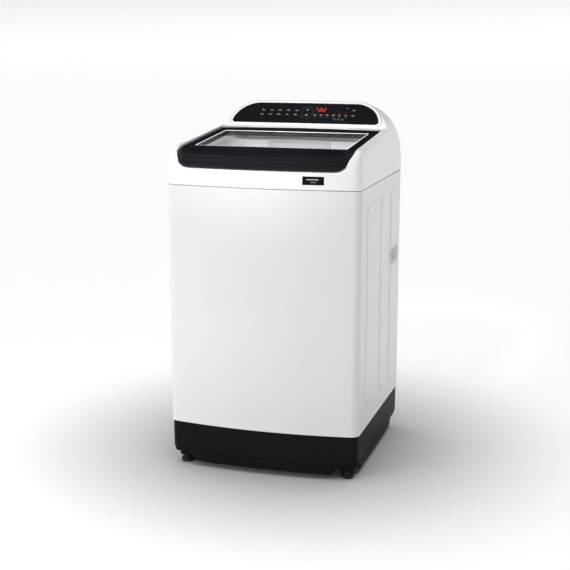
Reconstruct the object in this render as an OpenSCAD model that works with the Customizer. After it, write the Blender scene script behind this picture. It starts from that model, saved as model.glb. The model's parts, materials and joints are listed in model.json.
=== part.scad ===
// Top load washing machine: white steel cabinet on a black plastic base, white top cover and
// console, hinged black lid with a glass window, suspended tub with a spinning basket and a
// pulsator on a direct drive motor, detergent drawer, drain pump and levelling feet.
// +X is to the user's right, -Y is the front, +Z is up. The origin is on the floor, under the
// middle of the overall box.

/* [Overall] */
// Width over the side walls
body_w = 610; // [590:5:640]
// How far the front wall bows out in the middle
front_bow = 28; // [16:2:34]
// Front face at its middle, measured back from the origin
front_y = -320; // [-330:5:-310]
// Rear face of the cabinet
rear_y = 294; // [288:2:300]
// Face of the inlet ports, the rearmost point
port_y = 320; // [312:2:330]

/* [Heights] */
// Lower edge of the cabinet, where the black base starts
seam_low = 142; // [130:2:150]
// Upper edge of the cabinet, where the top cover starts
seam_high = 890; // [886:2:894]
// Top of the console
top_z = 1113; // [1110:1:1116]

/* [Walls] */
// Cabinet sheet thickness
sheet = 1; // [0.8:0.1:1.4]
// Moulded cover wall thickness
wall = 3; // [2.5:0.5:3.5]
// Front corner radius of the cabinet in plan
corner_r = 30; // [24:2:36]

/* [Lid] */
// Height of the lid plane over the origin
lid_z0 = 1020.4; // [1019:0.2:1022]
// Slope of the lid plane in degrees
lid_tilt = 4.6; // [4:0.1:5]
// Half width of the lid
lid_half = 271; // [268:1:273]
// Depth of the lid frame, square to its plane
lid_t = 18; // [16:1:20]
// Lower edge of the front lip
lip_z = 946; // [944:1:950]
// Glass thickness
glass_t = 4; // [3:0.5:5]
// Hinge axis behind the origin
hinge_y = 124; // [122:1:126]
// Hinge axis height
hinge_z = 1019; // [1018:1:1020]

/* [Console] */
// Slope of the control panel in degrees
panel_tilt = 45; // [44:1:46]
// Travel of a key
key_travel = 1; // [0.6:0.1:1.2]

/* [Drum] */
// Drum axis behind the origin
drum_y = -8; // [-10:1:-6]
// Outer radius of the tub
tub_r = 262; // [256:1:262]
// Outer radius of the basket
basket_r = 240; // [234:1:240]
// Outer radius of the pulsator
pulsator_r = 190; // [170:5:195]
// Suspension travel each way
tub_travel = 8; // [4:1:8]

/* [Drawer] */
// Middle of the drawer across the machine
drawer_x = 4; // [0:1:6]
// Width of the drawer front
drawer_w = 209; // [200:1:210]

/* [Feet] */
// Radius of a foot pad
foot_r = 20; // [18:1:21]
// Sideways position of the feet
foot_x = 262; // [255:1:264]
// Front feet position
foot_front_y = -252; // [-255:1:-245]
// Rear feet position
foot_rear_y = 252; // [245:1:255]

/* [Hidden] */
$fn = 72;
steps = 6;                      // chords in a corner arc
bow_steps = 14;                 // chords in a wide bow
side_x = body_w / 2;
bow_r = (side_x * side_x + front_bow * front_bow) / (2 * front_bow);
bow_cy = front_y + bow_r;       // centre of the bow, far behind the machine
emboss = 2.5;                   // height of the pressed panels on the cabinet sides
base_inset = 5;                 // the base steps in from the cabinet
base_low = 26;
base_wall = 3;
base_floor = 44;
drum_low = 240;                 // underside of the tub floor
tub_top = 862;
ring_low = 826;                 // underside of the balance ring
throat_r = 206;                 // opening of the top cover over the drum
well_low = 909;                 // floor of the loading well
well_half = 236;
well_front = -232;
well_rear = 100;
well_corner = 40;
arch_c = [157, 965];            // centre of the console's shoulder arc
arch_r = 143;
fit_gap = 0.05;                 // radial running clearance
panel_y = 166;                  // lower edge of the control panel
panel_z = 1044;
cap_key_y = [37, 59];           // rows of keys on the panel
key_low = -1.2;                 // underside of a key cap, from the panel's plane
switch_top = -8.8;
stem_low = switch_top + key_travel + 0.3;
option_keys = 6;
option_x0 = 32;
option_pitch = 20.7;
rod_x = 248;
rod_dy = 240;
rod_r = 4;
cup_z = 296;
spring_low = 306;
spring_high = 386;
pump_y = 150;
pump_z = 85;
pump_x = 120;
hose_x = 150;
inlet_z = 1046;
inlet_thread = 18;               // threaded length of each inlet
shaft_r = 9;
spin_shaft_r = 15;
bearing_r = 31;
housing_r = 40;
rear_screw_at = [for (x = [-272, 272], z = [200, 420, 640, 850]) [x, z]];
screw_hole_r = 2.3;
field_z = [290, 520, 750];      // pressed fields of the rear panel
pad_y = [[-205, -62], [-11, 97], [136, 262]];   // pressed panels of the cabinet sides
pad_z = [[208, 838], [202, 841], [196, 844]];
pad_corner = 32;
grip_y = 190;
grip_z = 620;
grip_w = 108;
grip_h = 54;
grip_depth = 26;
foot_screw_r = 5;
drain_z = 112;                  // outlet height
drain_r = 14;
drain_push = 22;                 // length that the drain hose is pushed over
cable_x = -240;
cable_z = 95;
valve_x = [-215, -165];
distributor_x = [-100, -60];    // water inlets of the drawer housing
drawer_z = 965;                 // middle of the drawer front
drawer_h = 49;
drawer_y0 = well_rear + 4.5;
drawer_y1 = 224;
window_v = [-207, 78];          // glass opening along the lid plane
window_w = 480;
pin_r = 3;                      // lid hinge pins
lip_t = 8;
share_y = 158.5;                // where the console starts, behind the lid
badge_x = 164;
badge_z = 918.5;
ring_at = [2, 47];              // course ring on the panel
ring_w = 38;
ring_h = 49;
window_at = [49, 60];           // display window on the panel
end_key_x = 160;
big = 800;                      // side of a cutting block

// ---- outlines -------------------------------------------------------------------------------

function arc(c, r, a0, a1, n) = [for (i = [0:n]) c + r * [cos(a0 + (a1 - a0) * i / n),
    sin(a0 + (a1 - a0) * i / n)]];
function mirrored(p) = [for (i = [len(p) - 1:-1:0]) [-p[i][0], p[i][1]]];

// Right half of the body in plan, from the front middle round to the rear, moved in by d.
function half_body(d) =
    let (r = max(corner_r - d, 2),
        cx = side_x - d - r,
        cy = bow_cy - sqrt(pow(bow_r - d - r, 2) - cx * cx),
        turn = asin(cx / (bow_r - d - r)),
        rear_r = max(10 - d, 1))
    concat(
        arc([0, bow_cy], bow_r - d, -90, -90 + turn, bow_steps / 2),
        arc([cx, cy], r, -90 + turn, 0, steps),
        arc([side_x - d - rear_r, rear_y - d - rear_r], rear_r, 0, 90, 3));
function body_points(d) = concat(half_body(d), mirrored(half_body(d)));

// Right half of the lid in plan: bowed front, rounded front corner, bowed rear edge.
function half_lid(d) =
    let (r = 34,
        cx = lid_half - r,
        cy = bow_cy - sqrt(pow(bow_r - r, 2) - cx * cx),
        turn = asin(cx / (bow_r - r)),
        rear_r = 1643,
        rear_cy = 154 - rear_r,
        rear_turn = asin((lid_half - d) / (rear_r - d)))
    concat(
        arc([0, bow_cy], bow_r - d, -90, -90 + turn, bow_steps / 2),
        arc([cx, cy], r - d, -90 + turn, 0, steps),
        arc([0, rear_cy], rear_r - d, 90 - rear_turn, 90, bow_steps / 2));
function lid_points(d) = concat(half_lid(d), mirrored(half_lid(d)));

// Right half of the arched cross-section of cover and console, seen from the front.
function half_arch(d) =
    let (crown_r = (arch_c[0] * arch_c[0] + 25) / 10,
        crown_turn = asin(arch_c[0] / crown_r))
    concat(
        [[side_x - d, seam_high - 5], [side_x - d, 905]],
        arc(arch_c, arch_r - d, 0, 86, 9),
        arc([0, top_z - crown_r], crown_r - d, 90 - crown_turn, 90, 4));
function arch_points(d) = concat(half_arch(d), mirrored(half_arch(d)));

// Side view of cover and console, as (y, z), moved in by d.
function side_points(d) = [
    [front_y + d, seam_high - 5], [front_y + 0.5 + d, 925], [front_y + 4 + d, 950],
    [front_y + 14 + d, 975 - d], [front_y + 32 + d, 992 - d], [front_y + 50, 1001 - d],
    [share_y, 1036.5 - d], [233, 1111 - 1.4 * d], [244, 1112.7 - d], [256, top_z - d],
    [270, top_z - d], [286, 1106 - d], [rear_y - d, 1088 - d], [rear_y - d, seam_high - 5]];

module along_x(half) {
    rotate([90, 0, 90]) translate([0, 0, -half]) linear_extrude(2 * half) children();
}
module along_y(y0, y1) {
    translate([0, y1, 0]) rotate([90, 0, 0]) linear_extrude(y1 - y0) children();
}
module rounded(w, h, r) {
    square([w - 2 * r, h], center = true);
    square([w, h - 2 * r], center = true);
    for (sx = [-1, 1], sy = [-1, 1]) translate([sx * (w / 2 - r), sy * (h / 2 - r)]) circle(r);
}
module body_prism(d, z0, z1) {
    translate([0, 0, z0]) linear_extrude(z1 - z0) polygon(body_points(d));
}
module lid_prism(d, z0, z1) {
    translate([0, 0, z0]) linear_extrude(z1 - z0) polygon(lid_points(d));
}
module on_lid() { translate([0, 0, lid_z0]) rotate([lid_tilt, 0, 0]) children(); }
module on_panel() { translate([0, panel_y, panel_z]) rotate([panel_tilt, 0, 0]) children(); }
module at_drum() { translate([0, drum_y, 0]) children(); }
module tube(r0, r1, z0, z1) {
    translate([0, 0, z0]) difference() {
        cylinder(r = r1, h = z1 - z0);
        translate([0, 0, -1]) cylinder(r = r0, h = z1 - z0 + 2);
    }
}
module at_rods() {
    for (sx = [-1, 1], sy = [-1, 1]) translate([sx * rod_x, drum_y + sy * rod_dy, 0]) children();
}

// ---- cabinet and base -----------------------------------------------------------------------

module side_pad(i, grow, x0, x1) {
    w = pad_y[i][1] - pad_y[i][0] + 2 * grow;
    h = pad_z[i][1] - pad_z[i][0] + 2 * grow;
    translate([x0, (pad_y[i][0] + pad_y[i][1]) / 2, (pad_z[i][0] + pad_z[i][1]) / 2])
        rotate([90, 0, 90]) linear_extrude(x1 - x0) rounded(w, h, pad_corner + grow);
}
module grip_block(grow, x0, x1) {
    translate([x0, grip_y, grip_z]) rotate([90, 0, 90])
        linear_extrude(x1 - x0) rounded(grip_w + 2 * grow, grip_h + 2 * grow, grip_h / 2 - 6 + grow);
}
module cabinet() {
    color("white") difference() {
        union() {
            difference() {
                body_prism(emboss, seam_low, seam_high);
                body_prism(emboss + sheet, seam_low - 1, seam_high + 1);
            }
            // Rolled hem at the foot and flange at the head
            difference() {
                body_prism(emboss - 1, seam_low, seam_low + 5);
                body_prism(emboss + 14, seam_low - 1, seam_low + 6);
            }
            difference() {
                body_prism(emboss + sheet, seam_high - 1.5, seam_high);
                body_prism(emboss + 16, seam_high - 3, seam_high + 1);
            }
            // Flanges either side of the rear opening
            for (s = [-1, 1]) translate([s * 275 - 14, rear_y - emboss - 2, seam_low])
                cube([28, 2, seam_high - seam_low]);
            for (s = [-1, 1]) scale([s, 1, 1]) {
                for (i = [0:2]) side_pad(i, 0, side_x - emboss - sheet, side_x);
                grip_block(1.5, side_x - grip_depth - 1.5, side_x - sheet);
            }
        }
        for (s = [-1, 1]) scale([s, 1, 1]) {
            for (i = [0:1]) side_pad(i, -1, side_x - emboss - sheet - 1, side_x - sheet);
            difference() {
                side_pad(2, -1, side_x - emboss - sheet - 1, side_x - sheet);
                grip_block(1.5, side_x - emboss - sheet - 2, side_x);
            }
            grip_block(0, side_x - grip_depth, side_x + 1);
        }
        translate([-262, rear_y - 6, seam_low + 20]) cube([524, 12, seam_high - seam_low - 40]);
        for (p = rear_screw_at) translate([p[0], rear_y - 8, p[1]])
            rotate([-90, 0, 0]) cylinder(r = screw_hole_r, h = 16);
    }
}

module rear_panel() {
    y0 = rear_y - emboss;
    color("gainsboro") difference() {
        union() {
            translate([-285, y0, seam_low + 8]) cube([570, 1, seam_high - seam_low - 16]);
            // Pressed stiffening fields
            for (z = field_z) translate([0, y0 + 3, z])
                rotate([90, 0, 0]) linear_extrude(3) rounded(440, 160, 30);
        }
        for (z = field_z) translate([0, y0 + 2, z])
            rotate([90, 0, 0]) linear_extrude(4) rounded(438, 158, 29);
        for (p = rear_screw_at) translate([p[0], rear_y - 8, p[1]])
            rotate([-90, 0, 0]) cylinder(r = screw_hole_r, h = 16);
    }
}

module at_feet() {
    for (sx = [-1, 1], y = [foot_front_y, foot_rear_y]) translate([sx * foot_x, y, 0]) children();
}
module base_frame() {
    color([0.1, 0.1, 0.11]) difference() {
        union() {
            difference() {
                union() {
                    body_prism(base_inset, 52, seam_low);
                    body_prism(base_inset + 5, base_low, 54);
                }
                body_prism(base_inset + 5 + base_wall, base_low - 1, 54);
                body_prism(base_inset + base_wall, 53, seam_low - 4);
                body_prism(base_inset + 24, seam_low - 5, seam_low + 1);
            }
            // Floor with a large opening under the motor
            difference() {
                body_prism(base_inset + 6, base_floor - 4, base_floor);
                at_drum() cylinder(r = 140, h = 200);
            }
            at_feet() translate([0, 0, 34]) cylinder(r = 24, h = 28);
        }
        at_feet() translate([0, 0, 20]) cylinder(r = foot_screw_r + fit_gap, h = 60);
        // Scalloped lower edge round each foot
        at_feet() translate([0, 0, base_low - 10]) cylinder(r = 34, h = 18);
        // Way out for the drain and the cable
        translate([pump_x, rear_y - 40, drain_z]) rotate([-90, 0, 0])
            cylinder(r = drain_r + 0.2, h = 60);
        translate([cable_x, rear_y - 40, cable_z]) rotate([-90, 0, 0]) cylinder(r = 8.2, h = 60);
    }
}
module foot(x, y) {
    translate([x, y, 0]) {
        color([0.08, 0.08, 0.08]) {
            cylinder(r = foot_r - 1, h = 3);
            translate([0, 0, 3]) cylinder(r = foot_r, h = 9);
            translate([0, 0, 12]) cylinder(r = 12, h = 10);
        }
        color("silver") translate([0, 0, 22]) cylinder(r = foot_screw_r, h = 50);
        color("silver") translate([0, 0, 27]) cylinder(r = 9, h = 6, $fn = 6);
    }
}
module foot_front_left() { foot(-foot_x, foot_front_y); }
module foot_front_right() { foot(foot_x, foot_front_y); }
module foot_rear_left() { foot(-foot_x, foot_rear_y); }
module foot_rear_right() { foot(foot_x, foot_rear_y); }

// ---- top cover and console ------------------------------------------------------------------

module top_form(d) {
    intersection() {
        body_prism(emboss + d, seam_high - 4, top_z + 10);
        along_x(side_x + 10) polygon(side_points(d));
        along_y(front_y - 10, rear_y + 10) polygon(arch_points(d));
    }
}
// Space that the closed lid fills, grown by g.
module lid_space(g) {
    intersection() {
        lid_prism(-3 - g, 900, top_z + 60);
        on_lid() translate([-big / 2, -big / 2, -lid_t - 2 - g]) cube([big, big, 300]);
    }
    intersection() {
        difference() {
            lid_prism(-3 - g, 900, 1040);
            translate([0, bow_cy, 890]) cylinder(r = bow_r - 21 - g, h = 200, $fn = 360);
        }
        lip_window(3 + g);
        translate([-big / 2, -400, 880]) cube([big, 200, 200]);
    }
}
module lip_window(g) {
    along_y(-400, -200) translate([0, lip_z + 100]) rounded(2 * lid_half + 2 * g, 200 + 2 * g, 46 + g);
}
// Trough that the rear edge of the lid swings down into, grown by g.
module lid_trough(g) {
    translate([-lid_half - 3 - g, hinge_y - 8 - g, hinge_z - 36 - g])
        cube([2 * lid_half + 6 + 2 * g, share_y - hinge_y + 8 + g, 120]);
}
module well_space(g) {
    translate([0, (well_front + well_rear) / 2, well_low - g])
        linear_extrude(300)
            rounded(2 * well_half + 2 * g, well_rear - well_front + 2 * g, well_corner + g);
}
// Side view of the console's share of the form, as (y, z).
module console_share() {
    along_x(side_x + 10) polygon(concat(
        [[share_y, top_z + 20], [share_y, 990]],
        arc([share_y + 63.5, 990], 63.5, 180, 228, 4),
        [[190, 942], [rear_y + 10, 942], [rear_y + 10, top_z + 20]]));
    for (s = [-1, 1]) scale([s, 1, 1]) translate([lid_half + 3, 0, 0])
        rotate([90, 0, 90]) linear_extrude(60) polygon([[105, top_z], [105, 1015], [118, 985],
            [share_y, 960], [170, top_z]]);
}
module drawer_mouth(g) {
    translate([drawer_x, well_rear + 2, drawer_z]) rotate([90, 0, 0])
        linear_extrude(20, center = true) rounded(drawer_w + 2 * g, drawer_h + 2 * g, 12);
}
module top_cover() {
    color("white") difference() {
        top_form(0);
        translate([0, 0, seam_high - 20]) cube([900, 900, 40], center = true);
        console_share();
        housing_block(0.3);
        lid_space(0);
        lid_trough(0);
        well_space(0);
        at_drum() translate([0, 0, 880]) intersection() {
            cylinder(r = throat_r, h = 60);
            translate([-300, -300, 0]) cube([600, 300 + well_rear - drum_y, 100]);
        }
        drawer_mouth(2);
        difference() {
            top_form(wall);
            rear_deck();
            lid_space(wall);
            lid_trough(wall);
            well_space(wall);
        }
        hinge_holes(pin_r + 0.6);
        // Slot for the lid striker
        translate([-6, -262, 940]) cube([32, 16, 60]);
        badge_plate(0.2);
    }
}
// Deck of the top cover under the console.
module rear_deck() {
    translate([-side_x, 190 - wall, 938]) cube([2 * side_x, 200, wall + 1]);
}
module hinge_holes(r) {
    translate([0, hinge_y, hinge_z]) rotate([0, 90, 0]) cylinder(r = r, h = 2 * 286, center = true);
}
module console_housing() {
    color("white") difference() {
        intersection() {
            top_form(0);
            console_share();
        }
        housing_block(0.3);
        lid_space(0);
        lid_trough(0);
        difference() {
            top_form(wall);
            lid_space(wall);
            translate([-lid_half - 3, 0, 938]) cube([2 * lid_half + 6, share_y + wall, 110]);
        }
        hinge_holes(pin_r + 0.6);
        on_panel() {
            translate([0, 0, -1.5]) linear_extrude(20) panel_shape(-0.5);
            translate([-26, 14, -20]) cube([204, 62, 30]);
        }
        for (x = valve_x) translate([x, rear_y - 20, inlet_z])
            rotate([-90, 0, 0]) cylinder(r = 13.6, h = 40);
    }
}
module panel_shape(d) {
    side = arc([160, -2], 90 - d, 12, 84, 8);
    low = arc([237, 13], 12 - d, -90, 0, 4);
    half = concat([[0, 1 + d]], low, side);
    polygon(concat(half, mirrored(half)));
}
module key_shape(w, h, g) { rounded(w + 2 * g, h + 2 * g, 3 + g); }
module option_at(i) { translate([option_x0 + i * option_pitch, cap_key_y[0], 0]) children(); }
module control_panel() {
    color([0.03, 0.03, 0.035]) on_panel() translate([0, 0, -1.5]) linear_extrude(2.5) difference() {
        panel_shape(0);
        for (i = [0:option_keys - 1]) option_at(i) key_shape(15, 11, 0.3);
        for (y = cap_key_y) {
            translate([end_key_x, y]) key_shape(20, 14, 0.3);
            translate([ring_at[0], y - 1]) key_shape(22, 16, 0.3);
        }
        translate(window_at) rounded(42, 20, 3);
    }
}
module display_window() {
    color([0.25, 0.02, 0.02]) on_panel() translate([window_at[0], window_at[1], -4]) {
        translate([0, 0, 2.5]) linear_extrude(2.4) rounded(41.6, 19.6, 2.8);
        linear_extrude(2.5) rounded(38, 16, 2);
    }
}
module course_ring() {
    color("silver") on_panel() translate([ring_at[0], ring_at[1], 1]) linear_extrude(0.6) difference() {
        rounded(ring_w, ring_h, 14);
        rounded(ring_w - 3, ring_h - 3, 12.5);
    }
}
module key(x, y, w, h) {
    color([0.06, 0.06, 0.065]) on_panel() translate([x, y, 0]) {
        translate([0, 0, key_low]) linear_extrude(2.6) key_shape(w, h, 0);
        translate([0, 0, stem_low]) linear_extrude(key_low - stem_low) rounded(8, 6, 1);
    }
}
module power_key() { key(end_key_x, cap_key_y[1], 20, 14); }
module start_key() { key(end_key_x, cap_key_y[0], 20, 14); }
module course_up_key() { key(ring_at[0], cap_key_y[1] - 1, 22, 16); }
module course_down_key() { key(ring_at[0], cap_key_y[0] - 1, 22, 16); }
module option_key(i) { key(option_x0 + i * option_pitch, cap_key_y[0], 15, 11); }
module option_key_1() { option_key(0); }
module option_key_2() { option_key(1); }
module option_key_3() { option_key(2); }
module option_key_4() { option_key(3); }
module option_key_5() { option_key(4); }
module option_key_6() { option_key(5); }

module display_board() {
    color("darkgreen") on_panel() {
        translate([-24, 16, -12]) cube([200, 58, 1.6]);
        for (i = [0:option_keys - 1]) option_at(i) translate([0, 0, -10.4]) cylinder(r = 3, h = 1.6);
        for (x = [ring_at[0], end_key_x], y = cap_key_y) translate([x, y - (x < 10 ? 1 : 0), -10.4])
            cylinder(r = 3, h = 1.6);
        translate([30, 52, -10.4]) cube([38, 16, 6.3]);
    }
}
module main_board() {
    color("darkgreen") translate([-40, 185, 985]) {
        cube([190, 70, 2]);
        for (i = [0:3]) translate([16 + i * 42, 14, 2]) cylinder(r = 9, h = 24);
        translate([20, 38, 2]) cube([60, 24, 20]);
        translate([110, 40, 2]) cube([56, 20, 14]);
        for (x = [8, 145], y = [6, 60]) translate([x, y, -6]) cylinder(r = 3, h = 6);
    }
}
module pressure_sensor() {
    color([0.9, 0.9, 0.85]) translate([215, 235, 945]) {
        cylinder(r = 22, h = 12);
        translate([0, 0, 12]) cylinder(r = 15, h = 10);
        translate([0, -30, 6]) rotate([-90, 0, 0]) cylinder(r = 3, h = 12);
        translate([-5, -5, 22]) cube([10, 10, 8]);
    }
}
module badge_plate(g) {
    translate([badge_x, bow_cy, badge_z]) intersection() {
        translate([0, -200, 0]) cube([64 + 2 * g, 4000, 25 + 2 * g], center = true);
        translate([-badge_x, 0, -20]) difference() {
            cylinder(r = bow_r - emboss + 0.4, h = 40, $fn = 720);
            translate([0, 0, -1]) cylinder(r = bow_r - emboss - 1.2 - g, h = 42, $fn = 720);
        }
        translate([0, -bow_r, 0]) cube([200, 100, 200], center = true);
    }
}
module front_badge() { color("black") badge_plate(0); }

// ---- detergent drawer -----------------------------------------------------------------------

// Space that the drawer housing fills, grown by g.
module housing_block(g) {
    translate([drawer_x - 109 - g, well_rear + wall + 2 - g, 934 - g])
        cube([218 + 2 * g, 143 + g, 45 + 2 * g]);
    translate([drawer_x - 109 - g, 247, 950 - g]) cube([218 + 2 * g, 19 + g, 29 + 2 * g]);
}
module drawer_housing() {
    color("whitesmoke") difference() {
        union() {
            translate([drawer_x - 109, well_rear + wall + 2, 934]) cube([218, 143, 45]);
            // Water distributor on the rear, with its two inlets
            translate([drawer_x - 109, 248, 950]) cube([218, 18, 29]);
            for (x = distributor_x) translate([x, 257, 979]) cylinder(r = 9, h = 20);
        }
        translate([drawer_x - 106.5, well_rear, 937]) cube([213, 145.5, 39.5]);
        translate([drawer_x - 106.5, 250.5, 953]) cube([213, 13, 23]);
        for (x = distributor_x) translate([x, 257, 970]) cylinder(r = 6.5, h = 40);
        for (i = [0:8]) translate([drawer_x - 88 + i * 22, 240, 960]) cube([8, 14, 6]);
    }
}
module detergent_drawer() {
    color("whitesmoke") difference() {
        translate([drawer_x - 100, drawer_y0, 940]) cube([200, drawer_y1 - drawer_y0, 33]);
        for (c = [[-98, 118], [22, 52], [76, 22]]) translate([drawer_x + c[0], drawer_y0 + 3, 942.5])
            cube([c[1], drawer_y1 - drawer_y0 - 6, 40]);
    }
}
module drawer_front() {
    color("whitesmoke") difference() {
        translate([drawer_x, drawer_y0, drawer_z]) rotate([90, 0, 0])
            linear_extrude(4.5) rounded(drawer_w, drawer_h, 12);
        translate([drawer_x - 60, drawer_y0 - 2.5, 936]) cube([120, 10, 14]);
    }
}
module inlet_valves() {
    color("whitesmoke") for (x = valve_x) translate([x, 0, inlet_z]) {
        rotate([-90, 0, 0]) translate([0, 0, rear_y - 24]) difference() {
            union() {
                cylinder(r = 12, h = port_y - rear_y + 24);
                translate([0, 0, port_y - rear_y + 24 - inlet_thread]) cylinder(r = 13.2, h = inlet_thread);
                translate([0, 0, -4]) cylinder(r = 19, h = 12);
            }
            translate([0, 0, 10]) cylinder(r = 9, h = 60);
        }
        translate([-16, rear_y - 50, -18]) cube([32, 24, 36]);
        translate([0, rear_y - 38, -46]) cylinder(r = 6, h = 28);
        translate([0, rear_y - 38, 18]) cylinder(r = 13, h = 12);
    }
}

// ---- lid ------------------------------------------------------------------------------------

module window_hole(g, t0, t1) {
    on_lid() translate([0, (window_v[0] + window_v[1]) / 2, t0]) linear_extrude(t1 - t0)
        rounded(window_w + 2 * g, window_v[1] - window_v[0] + 2 * g, 6);
}
module lid_plate(d, t0, t1) {
    intersection() {
        lid_prism(d, 900, top_z);
        on_lid() translate([-big / 2, -big / 2, t0]) cube([big, big, t1 - t0]);
    }
}
module hinge_blocks(g) {
    for (s = [-1, 1]) translate([s * 258 - 13, hinge_y - 11 - g, hinge_z - 5])
        cube([26, 22 + 2 * g, 20]);
}
module lid_frame() {
    color([0.05, 0.05, 0.06]) difference() {
        union() {
            difference() {
                lid_plate(0, -lid_t, 0);
                difference() {
                    lid_plate(3, -lid_t - 1, -3);
                    hinge_blocks(0);
                }
            }
            // Lip that wraps down over the front of the cover
            intersection() {
                difference() {
                    lid_prism(0, lip_z, 1000);
                    translate([0, bow_cy, 900]) cylinder(r = bow_r - lip_t, h = 200, $fn = 360);
                }
                lip_window(0);
                translate([-big / 2, -400, 900]) cube([big, 140, 200]);
                on_lid() translate([-big / 2, -big / 2, -200]) cube([big, big, 200]);
            }
        }
        window_hole(0, -30, 10);
        translate([0, hinge_y, hinge_z]) rotate([0, 90, 0]) cylinder(r = pin_r, h = 700, center = true);
    }
}
module lid_glass() {
    color([0.75, 0.8, 0.8, 0.35]) window_hole(6, -3 - glass_t, -3);
}
module lid_inner_frame() {
    color([0.08, 0.08, 0.09]) difference() {
        union() {
            lid_plate(3.3, -lid_t, -lid_t + 3);
            difference() {
                window_hole(6, -lid_t, -3 - glass_t);
                window_hole(1, -lid_t - 1, -glass_t);
            }
        }
        window_hole(1, -lid_t - 5, -glass_t - 3);
        hinge_blocks(0.4);
        translate([-big / 2, -400, 900]) cube([big, 400 - 262, 200]);
    }
}
module hinge_pins() {
    color("silver") for (s = [-1, 1]) translate([s * 264.5, hinge_y, hinge_z])
        rotate([0, 90, 0]) cylinder(r = pin_r, h = 37, center = true);
}
module hinge_brackets() {
    color("dimgray") for (s = [-1, 1]) translate([s * 279.3, hinge_y, hinge_z]) difference() {
        translate([-2.2, -9, -10]) cube([4.4, 18, 16]);
        rotate([0, 90, 0]) cylinder(r = pin_r + fit_gap, h = 20, center = true);
    }
}
module lid_striker() {
    color("dimgray") difference() {
        translate([4, -258, 962]) cube([12, 4, 26]);
        translate([7, -270, 966]) cube([6, 30, 6]);
        on_lid() translate([-50, -400, -lid_t]) cube([100, 400, 40]);
    }
}
module lid_lock() {
    color("dimgray") difference() {
        translate([-12, -272, 930]) cube([44, 34, 36]);
        translate([-2, -264, 944]) cube([24, 16, 40]);
    }
}
module lid_bumpers() {
    color([0.2, 0.2, 0.2]) for (s = [-1, 1], v = [-240, 60])
        on_lid() translate([s * 256, v, -lid_t - 2]) cylinder(r = 6, h = 1.6);
}

// ---- tub, basket and drive ------------------------------------------------------------------

module outer_tub() {
    color([0.75, 0.78, 0.8]) difference() {
        union() {
            at_drum() {
                tube(tub_r - 3, tub_r, drum_low, tub_top);
                translate([0, 0, drum_low]) cylinder(r = tub_r, h = 5);
                for (z = [330, 560, 790]) tube(tub_r - 1, tub_r + 4, z, z + 6);
            }
            at_rods() translate([0, 0, spring_high + 1]) cylinder(r = 24, h = 22);
            // Arms out to the suspension lugs
            for (a = [0:3]) translate([0, drum_y, spring_high + 1]) rotate([0, 0, 44.1 + 90 * a
                + (a % 2 == 0 ? 0 : 1.8)]) translate([tub_r - 2, -12, 0]) cube([72, 24, 22]);
            translate([hose_x, pump_y, 222]) cylinder(r = 19, h = 20);
        }
        at_rods() translate([0, 0, spring_high]) cylinder(r = rod_r + 1.5, h = 30);
        at_drum() translate([0, 0, drum_low - 5]) cylinder(r = housing_r, h = 20);
        translate([hose_x, pump_y, 215]) cylinder(r = 15, h = 40);
    }
}
module tub_cover() {
    color([0.82, 0.84, 0.85]) at_drum() {
        tube(throat_r + 4, tub_r + 2, tub_top, tub_top + 5);
        tube(throat_r + 4, throat_r + 7, tub_top + 5, tub_top + 14);
        tube(tub_r - 2, tub_r + 2, tub_top + 5, tub_top + 9);
    }
}
module bearing_housing() {
    color("silver") at_drum() difference() {
        union() {
            tube(0.1, housing_r, 172, 249);
            for (a = [0:60:300]) rotate([0, 0, a]) translate([housing_r - 4, -4, 219])
                cube([110, 8, 15]);
            translate([0, 0, 234]) cylinder(r = 150, h = 6);
        }
        translate([0, 0, 160]) cylinder(r = bearing_r - 8, h = 100);
        translate([0, 0, 160]) cylinder(r = bearing_r, h = 36);
        translate([0, 0, 229]) cylinder(r = bearing_r, h = 30);
        translate([hose_x, pump_y - drum_y, 230]) cylinder(r = 25, h = 20);
    }
}
module bearings() {
    color("silver") at_drum() for (z = [180, 229]) {
        tube(24.5, bearing_r, z, z + 16);
        tube(spin_shaft_r + fit_gap, 20.5, z, z + 16);
        tube(20.5, 24.5, z + 3, z + 13);
    }
}
module stator() {
    color([0.7, 0.4, 0.2]) at_drum() {
        tube(housing_r, 64, 176, 206);
        for (a = [0:15:345]) rotate([0, 0, a]) translate([62, -5, 178]) cube([36, 10, 26]);
    }
}
module suspension_rods() {
    color("silver") at_rods() {
        translate([0, 0, cup_z - tub_travel]) cylinder(r = rod_r, h = 872 - cup_z + tub_travel);
        translate([0, 0, 866]) cylinder(r = 11, h = 10);
    }
}
module rod_cups() {
    color([0.15, 0.15, 0.16]) at_rods() difference() {
        union() {
            translate([0, 0, cup_z]) cylinder(r = 22, h = spring_low - cup_z);
            translate([0, 0, cup_z - 4]) cylinder(r = 12, h = 5);
        }
        translate([0, 0, cup_z - 10]) cylinder(r = rod_r, h = 60);
    }
}
module suspension_springs() {
    turns = 8;
    pitch = (spring_high - spring_low) / turns;
    color("darkgray") at_rods() rotate_extrude() polygon(concat(
        [for (i = [0:turns - 1]) each [[16.5, spring_low + i * pitch],
            [20, spring_low + (i + 0.35) * pitch], [17, spring_low + (i + 0.75) * pitch]]],
        [[16.5, spring_high], [13.5, spring_high], [13.5, spring_low]]));
}
module corner_brackets() {
    color("silver") for (sx = [-1, 1], sy = [-1, 1]) scale([sx, 1, 1]) difference() {
        intersection() {
            body_prism(emboss + sheet, 858, 866);
            translate([0, drum_y + sy * rod_dy, 860]) rotate([0, 0, sy * 45])
                translate([rod_x * 0.707 - 26, -200, 0]) cube([200, 400, 5]);
            translate([rod_x - 60, -400, 0]) cube([200, 400 + rear_y - emboss - 2, 2000]);
        }
        translate([rod_x, drum_y + sy * rod_dy, 850]) cylinder(r = rod_r + 1, h = 30);
    }
}
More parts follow.
